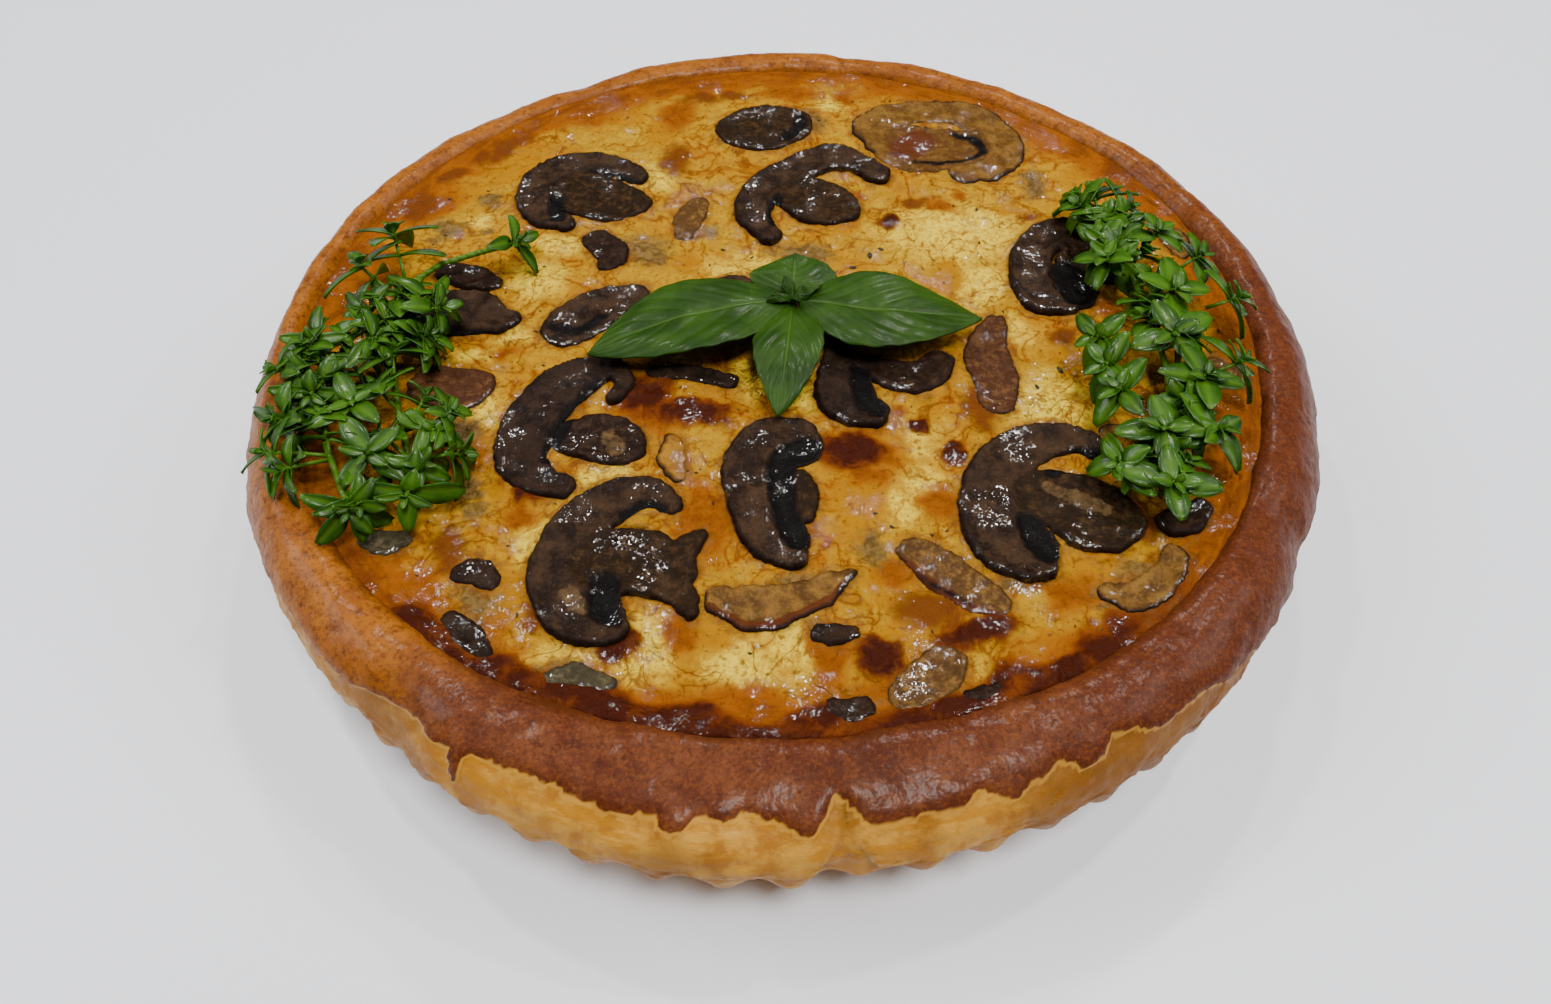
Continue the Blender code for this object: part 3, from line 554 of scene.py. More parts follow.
def custard_finish():
    look = Finish(
        "baked_custard", 0.3, Subsurface_Weight=0.15, Subsurface_Scale=0.003,
        Subsurface_Radius=(1.0, 0.6, 0.25), Coat_Roughness=0.05, Coat_IOR=1.6,
        Specular_IOR_Level=0.04)
    white, yellow, orange, grey, burnt, red, margin, juice_and_shade = map(look.mark, (
        "white", "yellow", "orange", "grey", "burnt", "red", "margin", "juice_and_shade"))
    fine = look.grain(0.9, 4.0, 0.65)
    pores = look.grain(2.0, 5.0, 0.65, 0.6)
    freckle = look.grain(1.5, 2.0, 0.5)
    middle = look.grain(6.0, 5.0, 0.65, 0.4)
    broad = look.grain(20.0, 4.0, 0.55)
    wrinkle = look.grain(3.4, 6.0, 0.6, 1.4)
    folds = look.sums(
        "ABSOLUTE", look.sums("SUBTRACT", look.grain(11.0, 3.0, 0.5, 0.8), 0.5))
    strands = look.ring_grain(1.3, 8.0, 4.0, 0.6)
    juice = look.layers(JUICE, (look.fade(pores, 0.4, 0.62), JUICE_LIGHT))
    colour = look.layers(
        BUTTER,
        (look.fade(middle, 0.38, 0.62), CREAM),
        (look.fade(broad, 0.42, 0.62), YOLK),
        (look.ragged(white, middle, 0.7, 0.1, 1.1), PALEST),
        (look.fade(pores, 0.5, 0.66, 0.0, 0.5), YOLK),
        (look.fade(fine, 0.5, 0.62, 0.0, 0.5), AMBER),
        (look.fade(wrinkle, 0.5, 0.62, 0.0, 0.6), AMBER),
        (look.fade(broad, 0.54, 0.68, 0.0, 0.75), AMBER),
        (look.fade(folds, 0.016, 0.003, 0.0, 0.7), TOFFEE),
        (look.fade(folds, 0.03, 0.05, 0.0, 0.12), PALEST),
        (look.ragged(yellow, middle, 0.6, 0.1, 0.9, 0.9), YOLK),
        (look.ragged(margin, middle, 0.9, 0.1, 0.7), AMBER),
        (look.ragged(orange, middle, 0.9, 0.05, 1.0), AMBER),
        (look.ragged(orange, pores, 1.4, 0.7, 1.3, 0.7), TOFFEE),
        (look.fade(freckle, 0.6, 0.68, 0.0, 0.6), TOFFEE),
        (look.ragged(grey, wrinkle, 1.4, 0.15, 1.0, 0.95), juice),
        # Round the slices: partly a juice stain, partly painted contact shade.
        (look.ragged(juice_and_shade, middle, 2.2, 0.5, 1.4, 0.7), AMBER),
        (look.ragged(juice_and_shade, middle, 2.4, 0.85, 1.5, 0.75), TOFFEE),
        (look.ragged(juice_and_shade, wrinkle, 2.0, 0.6, 1.4, 0.6), juice),
        (look.ragged(burnt, middle, 1.0, 0.15, 0.95, 0.95), TOFFEE),
        (look.ragged(margin, strands, 1.2, 0.75, 1.15, 0.8), TOFFEE),
        (look.ragged(red, middle, 0.9, 0.1, 0.7, 0.95), EMBER),
        (look.ragged(red, pores, 1.0, 0.45, 0.95), BURNT),
        (look.fade(fine, 0.66, 0.72, 0.0, 0.75), FLECK))
    film = look.grain(1.9, 1.0, 0.5, 1.0)
    sag = look.grain(5.0, 1.0, 0.5)
    return look.join(
        colour, look.fade(pores, 0.35, 0.65, 0.35, 0.55),
        [(middle, 0.9), (wrinkle, 0.6), (folds, 3.0), (pores, 0.25), (fine, 0.1)],
        [(sag, 0.5), (folds, 2.0), (film, 0.5)],
        look.fade(look.grain(8.0, 3.0, 0.6), 0.53, 0.62, 0.0, 0.7))


custard = finish_piece("custard", make_custard(), custard_finish(), ["filling"])


# Mushroom slices
# Chestnut mushrooms sliced from top to stem and laid on the custard before baking. The caps
# shrank, darkened and curled at the skin, the gills went black, and some slices sank in.

SLICE_STEP = 0.5           # size of the squares of a slice's surface
SLICE_SINK = 1.6
RISE_SHARE = 0.7           # how much of its rise a slice keeps once it has dried
SUNK_SHARE = 0.45
SLICE_MARKS = ("gills", "skin", "stem", "lighter", "pale", "rust", "edge", "along", "across")

# Each slice: its tone and its bands. A band has a kind, a rise and points (x, y, half width).
SLICES = {
    1: ("brown", [
        ("cap", 2.6, [(-55.5, 41, 3), (-61.5, 44.5, 4.4), (-65, 53.5, 4.6), (-61.5, 62.5, 4.6),
            (-53, 66.5, 4.6), (-43.5, 64, 4.2), (-37.5, 59.5, 3)]),
        ("stem", 2.2, [(-51.5, 53.5, 9), (-43.5, 49.5, 8), (-37.5, 48.5, 4.5)]),
        ("gills", 0, [(-58.5, 51.5, 1.6), (-58, 47, 2.2), (-57, 42.5, 2.2)]),
        ("gills", 0, [(-50, 63, 1.0), (-43, 60, 1.4), (-38.5, 57, 1.4)])]),
    2: ("brown", [
        ("cap", 2.6, [(-2, 34.5, 2.8), (-6.5, 43.5, 4.6), (-3.5, 54, 5.4), (5, 62, 5.4),
            (14, 67, 5.4), (22, 64.5, 3.6), (27.5, 59.5, 3.2)]),
        ("stem", 2.2, [(6, 52, 7.5), (12, 47.5, 8.2), (17.5, 45, 4.4)]),
        ("gills", 0, [(0.5, 50, 1.4), (-1, 45, 2.0), (-0.5, 39, 2)])]),
    3: ("brown", [
        ("stem", 2.4, [(-9, 81, 8), (-3.5, 81.5, 10.5), (2.5, 83.5, 8)]),
        ("gills", 0, [(2.5, 76.5, 1.8), (6.5, 82, 1.8), (7, 87, 1.4)])]),
    4: ("pale", [
        ("cap", 1.1, [(30, 72.5, 4.2), (27, 81.5, 5.4), (33.5, 88, 5.5), (45.5, 90, 5.5),
            (58, 85.5, 5.5), (64, 73, 5.2), (59, 62.5, 4.6), (51, 60, 4.4)]),
        ("stem", 0.7, [(35.5, 73.5, 9.5), (41, 71.5, 10.5), (52.5, 73, 8)]),
        ("rust", 0, [(36, 72, 5.0), (40, 76, 4.5)]),
        ("gills", 0, [(50, 79, 1.0), (55.5, 76, 1.6), (57, 70, 1.4), (53, 67.5, 1.0)]),
        ("gills", 0, [(38, 66, 0.8), (46, 65, 1.0), (52, 66.5, 0.8)])]),
    5: ("brown", [
        ("cap", 2.6, [(68.5, 7, 3.6), (63, 10, 4.8), (62, 20, 5), (67, 30.5, 5.4),
            (74.5, 33.5, 5.4), (80.5, 29, 4.6), (82.5, 22, 3)]),
        ("gills", 2.0, [(71.5, 17.5, 5), (72.5, 10.5, 4.6)]),
        ("stem", 2.2, [(74, 23, 5), (79, 19.5, 4.5), (82.5, 17.5, 3.4)])]),
    6: ("dark", [("stem", 2.4, [(-82.5, 22.5, 3.2), (-76, 20.5, 4), (-70.5, 18.5, 2.4)])]),
    7: ("brown", [
        ("cap", 2.8, [(-80, 7.5, 7), (-74.5, 7.5, 7.6), (-69, 5.5, 4.8), (-64.5, 5.5, 2.4)]),
        ("gills", 0, [(-85, 1, 1.6), (-78, 0.5, 1.8), (-71, 0.5, 1.2)])]),
    8: ("red", [("stem", 2.2, [(-79, -16, 6), (-73.5, -17.5, 6.6), (-69, -16, 3.8)])]),
    9: ("brown", [
        ("cap", 1.3, [(-35.5, 14.5, 3.4), (-41.5, 11.5, 5.6), (-47, 6.5, 7.2), (-51.5, 3, 6)]),
        ("gills", 0, [(-54, 3, 1.6), (-48, 2, 1.8), (-42, 6.5, 1.2)])]),
    10: ("dark", [
        ("cap", 2.8, [(-37.5, -20.5, 2), (-35.5, -16, 2.2), (-40, -11.5, 3.4),
            (-48.5, -16.5, 6.2), (-54, -24.5, 6.6), (-56.5, -33.5, 6.4), (-56, -40, 5.4),
            (-51.5, -44.5, 4.2), (-46.5, -46.5, 2.8)]),
        ("stem", 2.3, [(-46.5, -32.5, 4.6), (-40, -33, 6.8), (-35.5, -35, 6), (-32.5, -35.5, 3)]),
        ("pale", 0, [(-38, -33, 2.0), (-36, -37, 2.4)]),
        ("gills", 0, [(-42, -17, 1.4), (-46.5, -25, 1.8), (-49.5, -33, 2.0),
            (-50.5, -39, 1.8)])]),
    11: ("dark", [("cap", 2.0, [(-29, -13, 2), (-20.5, -14, 2.6), (-12, -16.5, 2.2)])]),
    12: ("brown", [("cap", 2.0, [(-16.5, 14.5, 3), (-10, 15.5, 4.2), (-4.5, 12, 3)])]),
    13: ("dark", [("stem", 1.8, [(-46, 34, 4), (-42, 29, 4.4), (-43, 25, 2.6)])]),
    14: ("tan", [("stem", 1.1, [(-21, 48.5, 3), (-23, 42.5, 4), (-24, 37, 2.6)])]),
    15: ("brown", [
        ("cap", 2.7, [(6.5, -35.5, 2.6), (3.5, -32, 3.4), (-3, -33.5, 5.2), (-7.5, -40.5, 5.6),
            (-6.5, -51, 5.2), (-4, -60.5, 4.6), (1.5, -65, 3.2)]),
        ("gills", 2.0, [(4.5, -37.6, 3.6), (0, -40.5, 3.4), (-0.5, -48, 3), (0.5, -55.5, 3),
            (2.5, -61, 3)]),
        ("stem", 2.3, [(3.2, -45, 2.6), (4.2, -49.5, 3.2), (4, -54, 2.8)]),
        ("pale", 0, [(4.5, -40.5, 0.5), (2.2, -43, 0.6), (1.4, -49, 0.7), (2, -54, 0.5)])]),
    16: ("brown", [
        ("cap", 2.7, [(-33, -81.5, 3), (-39, -80, 4.8), (-44, -75, 5.6), (-45.5, -66.5, 5.8),
            (-43, -58, 6), (-37, -51.5, 5.6), (-29, -48.5, 4.2), (-23.5, -51.5, 2.6)]),
        ("stem", 2.3, [(-38, -65.5, 8.2), (-30.5, -65.5, 8), (-24.5, -67.5, 7)]),
        ("gills", 2.0, [(-35.5, -71, 3.0), (-35.5, -76, 3.4), (-33.5, -79, 2.4)]),
        ("stem", 2.2, [(-25, -66, 4.5), (-20.5, -63, 3.2), (-17, -59.5, 1.6)]),
        ("stem", 2.3, [(-25, -70, 4.5), (-20.5, -74, 3), (-18.5, -78, 1.6)]),
        ("pale", 0, [(-42.5, -74, 2.2), (-40, -77, 2.0)]),
        ("gills", 0, [(-32, -54.5, 2.0), (-28.5, -53, 2.6), (-25.5, -53, 1.8)])]),
    17: ("dark", [
        ("cap", 2.7, [(13.5, -4.5, 3), (13.5, -11.5, 4.4), (12.5, -20.5, 5.2), (15.5, -26, 4.2),
            (21, -28.5, 2.4)]),
        ("stem", 2.3, [(16, -10.5, 3), (25, -15, 4.2), (32, -16, 5), (37, -11, 3.2)]),
        ("gills", 2.0, [(18, -15, 2.6), (18.5, -22, 2.8), (21, -26, 2.6)])]),
    18: ("red", [("stem", 1.1, [(51, 2, 3), (48, -7, 5), (49, -15.5, 5.4), (48, -23.5, 4.2)])]),
    19: ("brown", [
        ("cap", 2.8, [(51.5, -68.5, 3.2), (46, -66.5, 5.2), (42.5, -60, 6), (43, -51, 6.4),
            (47.5, -42, 6.2), (54.5, -36.5, 5.4), (63, -35.5, 3.8), (68.5, -39.5, 2.6)]),
        ("stem", 2.3, [(52.5, -50.5, 6.6), (59, -52.5, 8), (63.5, -56, 9), (67, -57.5, 7)]),
        ("pale", 0, [(55.5, -49, 1.8), (61, -52, 2.4), (66, -55, 2.0)]),
        ("gills", 2.0, [(49.5, -57.5, 2.4), (51.5, -62.5, 3.6), (52.5, -66, 2.4)]),
        ("gills", 0, [(57, -44.5, 1.6), (63.5, -40.5, 2.2), (68, -41.5, 2.2)])]),
    20: ("tan", [
        ("stem", 1.2, [(25.5, -64, 3.2), (30.5, -68, 4.8), (36, -73.5, 4.6), (41, -77, 3)]),
        ("rust", 0, [(23, -66, 1.0), (29, -72, 1.4), (36, -78, 1.4), (42, -80, 1.0)]),
        ("gills", 0, [(26, -69.5, 0.5), (31, -73.5, 0.6), (36, -77, 0.5)])]),
    21: ("tan", [
        ("cap", 1.3, [(-12.5, -75, 3.6), (-6, -77.2, 5), (2, -75.4, 4.6), (8.5, -72, 3.2),
            (12.5, -69, 1.8)]),
        ("rust", 0, [(-15, -77, 1.2), (-7, -81.6, 1.7), (2, -79.6, 1.6), (9, -74.8, 1.3),
            (13.5, -70.5, 1.2)])]),
    22: ("tan", [
        ("stem", 1.1, [(21.5, -96, 3.2), (25.5, -93.5, 4.6), (29, -90.5, 4.6),
            (31.5, -89, 2.6)])]),
    23: ("dark", [("stem", 1.1, [(8.5, -98, 2), (11.5, -98.8, 2.6), (14, -98.3, 2)])]),
    24: ("dark", [("stem", 2.0, [(79.5, -58, 3), (83, -57, 3.6), (86, -54.5, 2.6)])]),
    25: ("tan", [
        ("cap", 1.1, [(78.5, -65.5, 2.6), (75.5, -70.5, 3.2), (69, -75, 3.8),
            (63.5, -74, 2.4)])]),
    26: ("dark", [("cap", 1.1, [(-65.5, -77.5, 1.8), (-61.5, -81.5, 2.8), (-57.5, -85.5, 1.6)])]),
    27: ("dark", [("stem", 1.1, [(-65, -67.5, 2.4), (-62, -67, 3.2), (-59, -69, 2.4)])]),
    28: ("grey", [("stem", 1.1, [(-85.5, -58.5, 2.4), (-81.5, -59.5, 3), (-78.5, -58.5, 2.2)])]),
    29: ("tan", [("stem", 1.1, [(100.5, -12, 2.4), (102.5, -14.5, 3.2), (104.5, -17, 2.2)])]),
    30: ("grey", [("stem", 1.1, [(-44, -91, 1.8), (-39.5, -90.5, 2.4), (-34, -92.5, 1.8)])]),
    31: ("dark", [("stem", 1.1, [(33.5, -96.3, 1.4), (36, -96, 1.8), (38.5, -94.6, 1.4)])]),
    32: ("gold", [("cap", 1.1, [(-24, -34, 2.2), (-24, -39, 3), (-22.5, -43, 2)])]),
    33: ("dark", [("cap", 1.1, [(6.5, -82.5, 1.8), (9.5, -83.5, 2.6), (12, -83, 1.8)])]),
    34: ("tan", [("cap", 1.1, [(71, -33, 1.6), (74, -32.5, 1.8), (76, -34, 1.2)])]),
    35: ("tan", [("cap", 1.1, [(98.5, 35.5, 3), (101, 32, 3.2), (102, 27.5, 2.4)])]),
}


def smooth_line(points, pieces=5):
    """More points on a smooth curve through a band's points."""
    known = [Vector(point) for point in points]
    line = []
    for i in range(len(known) - 1):
        before, after = known[max(i - 1, 0)], known[min(i + 2, len(known) - 1)]
        for k in range(pieces):
            t = k / pieces
            line.append(known[i] + 0.5 * (
                (known[i + 1] - before) * t
                + (2.0 * before - 5.0 * known[i] + 4.0 * known[i + 1] - after) * t * t
                + (3.0 * known[i] - before - 3.0 * known[i + 1] + after) * t ** 3))
    line.append(known[-1])
    return line


def band_place(line, lengths, x, y):
    """Depth inside a band, its half width there, distance along it, and side from -1 to 1."""
    best = None
    for i in range(len(line) - 1):
        ax, ay = line[i].x, line[i].y
        bx, by = line[i + 1].x - ax, line[i + 1].y - ay
        span = bx * bx + by * by
        share = min(max(((x - ax) * bx + (y - ay) * by) / span, 0.0), 1.0)
        dx, dy = x - ax - share * bx, y - ay - share * by
        width = line[i].z + (line[i + 1].z - line[i].z) * share
        away = math.hypot(dx, dy)
        if best is None or width - away > best[0]:
            side = math.copysign(away / width, bx * dy - by * dx)
            best = (width - away, width, lengths[i] + share * math.sqrt(span), side)
    return best


def prepare_bands(bands):
    """Works out each band's line, its lengths and the side on which the cap's skin lies."""
    ready = []
    for kind, rise, points in bands:
        line = smooth_line(points)
        lengths = [0.0]
        for a, b in zip(line, line[1:]):
            lengths.append(lengths[-1] + math.hypot(b.x - a.x, b.y - a.y))
        chord = line[-1] - line[0]
        middle = line[len(line) // 2] - line[0]
        skin_side = math.copysign(1.0, chord.x * middle.y - chord.y * middle.x)
        ready.append((kind, rise, line, lengths, skin_side))
    return ready


def shrivel(x, y, number):
    """How far the shrivelled outline of a slice wanders at a point."""
    spot = Vector((x, y, 7.0 * number))
    return 0.6 * noise.noise(spot * 0.22) + 0.45 * noise.noise(spot * 0.65)


def slice_depth(bands, x, y, number):
    """How deep a point lies inside a slice's outline."""
    return shrivel(x, y, number) + max(
        band_place(line, lengths, x, y)[0] for kind, rise, line, lengths, side in bands if rise)


def is_raised(bands):
    """Whether a slice dried and curled on top of the custard instead of sinking in."""
    return bands[0][1] > 1.5


def make_slice(number, bands):
    bm = bmesh.new()
    ready = prepare_bands(bands)
    outline = [point for band in ready if band[1] for point in band[2]]
    low_x = min(point.x - point.z for point in outline) - 1.5
    high_x = max(point.x + point.z for point in outline) + 1.5
    low_y = min(point.y - point.z for point in outline) - 1.5
    high_y = max(point.y + point.z for point in outline) + 1.5
    columns = math.ceil((high_x - low_x) / SLICE_STEP)
    rows = math.ceil((high_y - low_y) / SLICE_STEP)
    bmesh.ops.create_grid(bm, x_segments=columns, y_segments=rows, size=0.5)
    for vert in bm.verts:
        vert.co.x = low_x + (vert.co.x + 0.5) * (high_x - low_x)
        vert.co.y = low_y + (vert.co.y + 0.5) * (high_y - low_y)
    outside = [v for v in bm.verts if slice_depth(ready, v.co.x, v.co.y, number) < -0.1]
    bmesh.ops.delete(bm, geom=outside, context="VERTS")
    bmesh.ops.delete(bm, geom=[v for v in bm.verts if not v.link_faces], context="VERTS")
    for vert in bm.verts:
        if vert.is_boundary:
            x, y = vert.co.x, vert.co.y
            depth = slice_depth(ready, x, y, number)
            slope = Vector((
                slice_depth(ready, x + 0.1, y, number) - slice_depth(ready, x - 0.1, y, number),
                slice_depth(ready, x, y + 0.1, number) - slice_depth(ready, x, y - 0.1, number)))
            if slope.length > 0.02:
                slope.normalize()
                vert.co.x -= slope.x * depth
                vert.co.y -= slope.y * depth
    raised = is_raised(bands)
    layers = {name: bm.verts.layers.float.new(name) for name in SLICE_MARKS}
    for vert in bm.verts:
        x, y = vert.co.x, vert.co.y
        seed = Vector((x, y, 7.0 * number))
        zones = {"gills": 0.0, "pale": 0.0, "rust": 0.0}
        wander = shrivel(x, y, number)
        near = []
        for kind, rise, line, lengths, skin_side in ready:
            depth, width, length, side = band_place(line, lengths, x, y)
            if rise:
                outer = smooth(-0.2, 0.5, side * skin_side) * (kind == "cap")
                near.append((depth + wander, rise, length, side * width, outer, kind == "stem"))
            if kind in zones:
                wide = 0.5 * noise.noise(seed * 0.6)
                zones[kind] = max(zones[kind], smooth(-0.5, 0.7, depth + wide))
        deepest, rise, along, across, outer, stem = max(near)
        weights = [math.exp(2.0 * (band[0] - deepest)) for band in near]
        level = sum(weight * band[1] for weight, band in zip(weights, near)) / sum(weights)
        stem = sum(weight * band[5] for weight, band in zip(weights, near)) / sum(weights)
        roundness = 1.0 - (1.0 - min(max(deepest, 0.0) / 0.7, 1.0)) ** 2
        rise_here = (RISE_SHARE if raised else SUNK_SHARE) * level * (0.6 + 0.4 * roundness)
        skin = smooth(1.3, 0.2, deepest) * outer
        lip = math.exp(-((deepest - 0.8) / 0.5) ** 2) * outer
        rise_here += 0.3 * lip - 0.3 * smooth(1.2, 3.5, deepest)
        gills = zones["gills"]
        streak = noise.noise(Vector((along * 0.10, across * 1.6, number)))
        pucker = noise.noise(Vector((along * 0.7, across * 0.5, number + 3.0)))
        wrinkle = 0.08 * streak + 0.12 * pucker + 0.14 * noise.noise(seed * 0.8)
        ridge = 0.12 * math.sin(along * 5.5 + 1.5 * noise.noise(seed * 0.4))
        tilt = 1.0 + 0.35 * noise.noise(Vector((x, y, 5.0 * number)) * 0.05)
        height = rise_here * tilt + smooth(0.0, 1.0, deepest) * (
            wrinkle * (1.0 - 0.5 * gills) - 0.9 * gills * raised + ridge * gills
            + (0.15 + 0.3 * raised) * noise.noise(seed * 0.16))
        for name, share in zones.items():
            vert[layers[name]] = share
        vert[layers["skin"]] = skin
        vert[layers["stem"]] = stem
        vert[layers["lighter"]] = 0.5 + 0.5 * noise.noise(seed * 0.12)
        # Darkening along the slice's outline: partly its dried dark rim, partly painted shade at
        # its edge.
        vert[layers["edge"]] = smooth(0.7, 0.1, deepest)
        vert[layers["along"]] = along
        vert[layers["across"]] = across
        ground = FILLING_HEIGHT if raised else custard_top(x, y) - 0.1
        vert.co.z = ground + height
    for vert in new_points(bmesh.ops.extrude_face_region(bm, geom=bm.faces[:], use_keep_orig=True)):
        vert.co.z = FILLING_HEIGHT - SLICE_SINK
    bmesh.ops.scale(bm, vec=(MM, MM, MM), verts=bm.verts[:])
    return bm


# Tones of the slices: dark and light flesh, dark and light stem
MUSHROOM_TONES = {
    "brown": ((0.012, 0.006, 0.004, 1.0), (0.050, 0.026, 0.013, 1.0),
              (0.014, 0.007, 0.003, 1.0), (0.056, 0.027, 0.009, 1.0)),
    "dark": ((0.010, 0.005, 0.004, 1.0), (0.032, 0.017, 0.010, 1.0),
             (0.013, 0.006, 0.004, 1.0), (0.044, 0.022, 0.011, 1.0)),
    "tan": ((0.075, 0.034, 0.009, 1.0), (0.220, 0.110, 0.022, 1.0),
            (0.072, 0.033, 0.010, 1.0), (0.205, 0.104, 0.024, 1.0)),
    "pale": ((0.085, 0.036, 0.006, 1.0), (0.200, 0.100, 0.020, 1.0),
             (0.080, 0.032, 0.006, 1.0), (0.180, 0.088, 0.018, 1.0)),
    "red": ((0.060, 0.022, 0.009, 1.0), (0.140, 0.062, 0.022, 1.0),
            (0.055, 0.020, 0.009, 1.0), (0.140, 0.062, 0.022, 1.0)),
    "grey": ((0.040, 0.032, 0.017, 1.0), (0.110, 0.088, 0.045, 1.0),
             (0.040, 0.032, 0.017, 1.0), (0.110, 0.088, 0.045, 1.0)),
    "gold": ((0.200, 0.080, 0.010, 1.0), (0.340, 0.160, 0.016, 1.0),
             (0.200, 0.080, 0.010, 1.0), (0.340, 0.160, 0.016, 1.0)),
}
SKIN = (0.014, 0.007, 0.005, 1.0)
GILLS = (0.004, 0.003, 0.003, 1.0)
FLESH = (0.150, 0.088, 0.034, 1.0)
RUST = (0.085, 0.020, 0.006, 1.0)


def mushroom_finish(tone):
    dark, light, stem_dark, stem_light = MUSHROOM_TONES[tone]
    look = Finish(
        "mushroom_" + tone, 0.38, Coat_Roughness=0.05, Coat_IOR=1.7, Specular_IOR_Level=0.06,
        Subsurface_Weight=0.05, Subsurface_Scale=0.002)
    gills, skin, stem, lighter, pale, rust, edge, along, across = map(look.mark, SLICE_MARKS)
    place = look.add("CombineXYZ", {
        "X": look.sums("MULTIPLY", along, 0.12), "Y": across}).outputs["Vector"]
    stripes = look.noise(place, 1.6, 4.0, 0.6)
    fine = look.grain(0.7, 4.0, 0.65)
    pores = look.grain(1.6, 5.0, 0.65)
    middle = look.grain(4.5, 4.0, 0.6)
    stalk = look.layers(
        stem_dark,
        (look.fade(pores, 0.42, 0.66), stem_light),
        (look.fade(stripes, 0.45, 0.6, 0.0, 0.4), stem_dark),
        (look.fade(middle, 0.45, 0.65, 0.0, 0.8), stem_dark))
    # Strength of the outline darkening: partly the slice's dark rim, partly painted shade at its
    # edge.
    outline = 0.75 if tone in ("brown", "dark", "red") else 0.3
    colour = look.layers(
        dark,
        (look.fade(middle, 0.38, 0.66), light),
        (look.fade(pores, 0.55, 0.7, 0.0, 0.5), light),
        (look.fade(fine, 0.52, 0.64, 0.0, 0.45), light),
        (look.fade(fine, 0.48, 0.38, 0.0, 0.45), dark),
        (stem, stalk),
        (look.fade(lighter, 0.6, 0.85, 0.0, 0.5), light),
        (look.fade(stripes, 0.56, 0.68, 0.0, 0.3), dark),
        (look.ragged(pale, pores, 2.0, 0.4, 1.5, 0.8), FLESH),
        (look.ragged(rust, pores, 0.8, 0.3, 0.8, 0.9), RUST),
        (look.sums("MULTIPLY", edge, outline), SKIN),
        (skin, SKIN),
        (gills, GILLS))
    film = look.grain(1.7, 1.0, 0.5, 1.0)
    return look.join(
        colour, look.fade(middle, 0.35, 0.65, 0.35, 0.6),
        [(stripes, 0.12), (middle, 0.3), (pores, 0.42), (fine, 0.16)],
        [(look.grain(4.5, 1.0, 0.5), 0.3), (film, 0.36)],
        look.fade(look.grain(7.0, 3.0, 0.6), 0.53, 0.6, 0.01, 0.9))


finishes = {}
for number, (tone, bands) in SLICES.items():
    if tone not in finishes:
        finishes[tone] = mushroom_finish(tone)
    finish_piece(
        "mushroom_%02d" % number, make_slice(number, bands), finishes[tone],
        ["mushroom_slice_%02d" % number])


SLICE_CELL = 5
STAIN_AND_SHADE_WIDTH = 5.0
CREEP = 0.6                # how far the custard creeps up on the edge of a raised slice
SLICE_DIP = 0.9            # how far it lies lower under a slice


def stain_and_shade_custard():
    """Darkens the custard round each slice with a juice stain and painted contact shade, and lets
    it creep up on the slice's edge.
    """
    near = {}
    for tone, bands in SLICES.values():
        creep = CREEP if is_raised(bands) else 0.0
        for point in (point for band in bands if band[1] for point in smooth_line(band[2])):
            for cell in cells_around(point.x, point.y, point.z + STAIN_AND_SHADE_WIDTH, SLICE_CELL):
                near.setdefault(cell, []).append((*point, creep))
    juice_and_shade = custard.data.attributes["juice_and_shade"].data
    for vert in custard.data.vertices:
        x, y = vert.co.x / MM, vert.co.y / MM
        places = near.get((int(x // SLICE_CELL), int(y // SLICE_CELL)))
        if places and vert.co.z > 0.9 * EDGE_HEIGHT * MM:
            depth, creep = max((half - math.hypot(x - px, y - py), creep)
                               for px, py, half, creep in places)
            # Darker towards each slice: juice stain and painted contact shade.
            edge = depth + 0.8 * noise.noise(Vector((x, y, 4.0)) * 0.3)
            juice_and_shade[vert.index].value = smooth(-STAIN_AND_SHADE_WIDTH, 0.0, edge)
            rise = creep * smooth(-2.4, -0.6, edge) * smooth(0.6, -0.4, depth)
            vert.co.z += MM * (rise - SLICE_DIP * smooth(0.3, 1.4, depth))


stain_and_shade_custard()


# Sweet basil sprig
# The tip of a fresh sweet basil stem, laid on the middle of the quiche: a pair of large leaves,
# a pair of small ones across them, and a bud. The leaves are thin, satin and sunk at the veins.

SPRIG_CENTRE = Vector((3.0, 4.0, 43.6))
SPRIG_LEAVES = [
    ((-44.0, -11.5, 42.0), 24.0, -1.0, 2.6), ((47.0, -2.0, 42.0), 24.0, -3.5, 3.0),
    ((-1.0, -31.0, 41.6), 16.0, 0.5, 3.0), ((4.0, 18.5, 45.0), 21.0, 0.0, 0.6),
]
VEIN_SPACING = 0.15        # between two side veins, as a share of the leaf's length


def leaf_outline(along):
    """Share of a basil leaf's width at a share of its length."""
    return max(0.03, math.sin(math.pi * along ** 0.8) ** 0.85) if along < 1.0 else 0.02


def vein(along, across):
    """How near a point of a leaf is to its rib, and to one of the veins that curve off it."""
    side = abs(across)
    place = (along - 0.30 * side - 0.16 * side * side + 0.02 * (across > 0.0)) / VEIN_SPACING
    away = abs(place - round(place)) * VEIN_SPACING
    branch = math.exp(-(away / 0.010) ** 2) * smooth(0.95, 0.5, side) * smooth(0.03, 0.15, along)
    return math.exp(-(side / 0.03) ** 2), branch, math.cos(2.0 * math.pi * place)


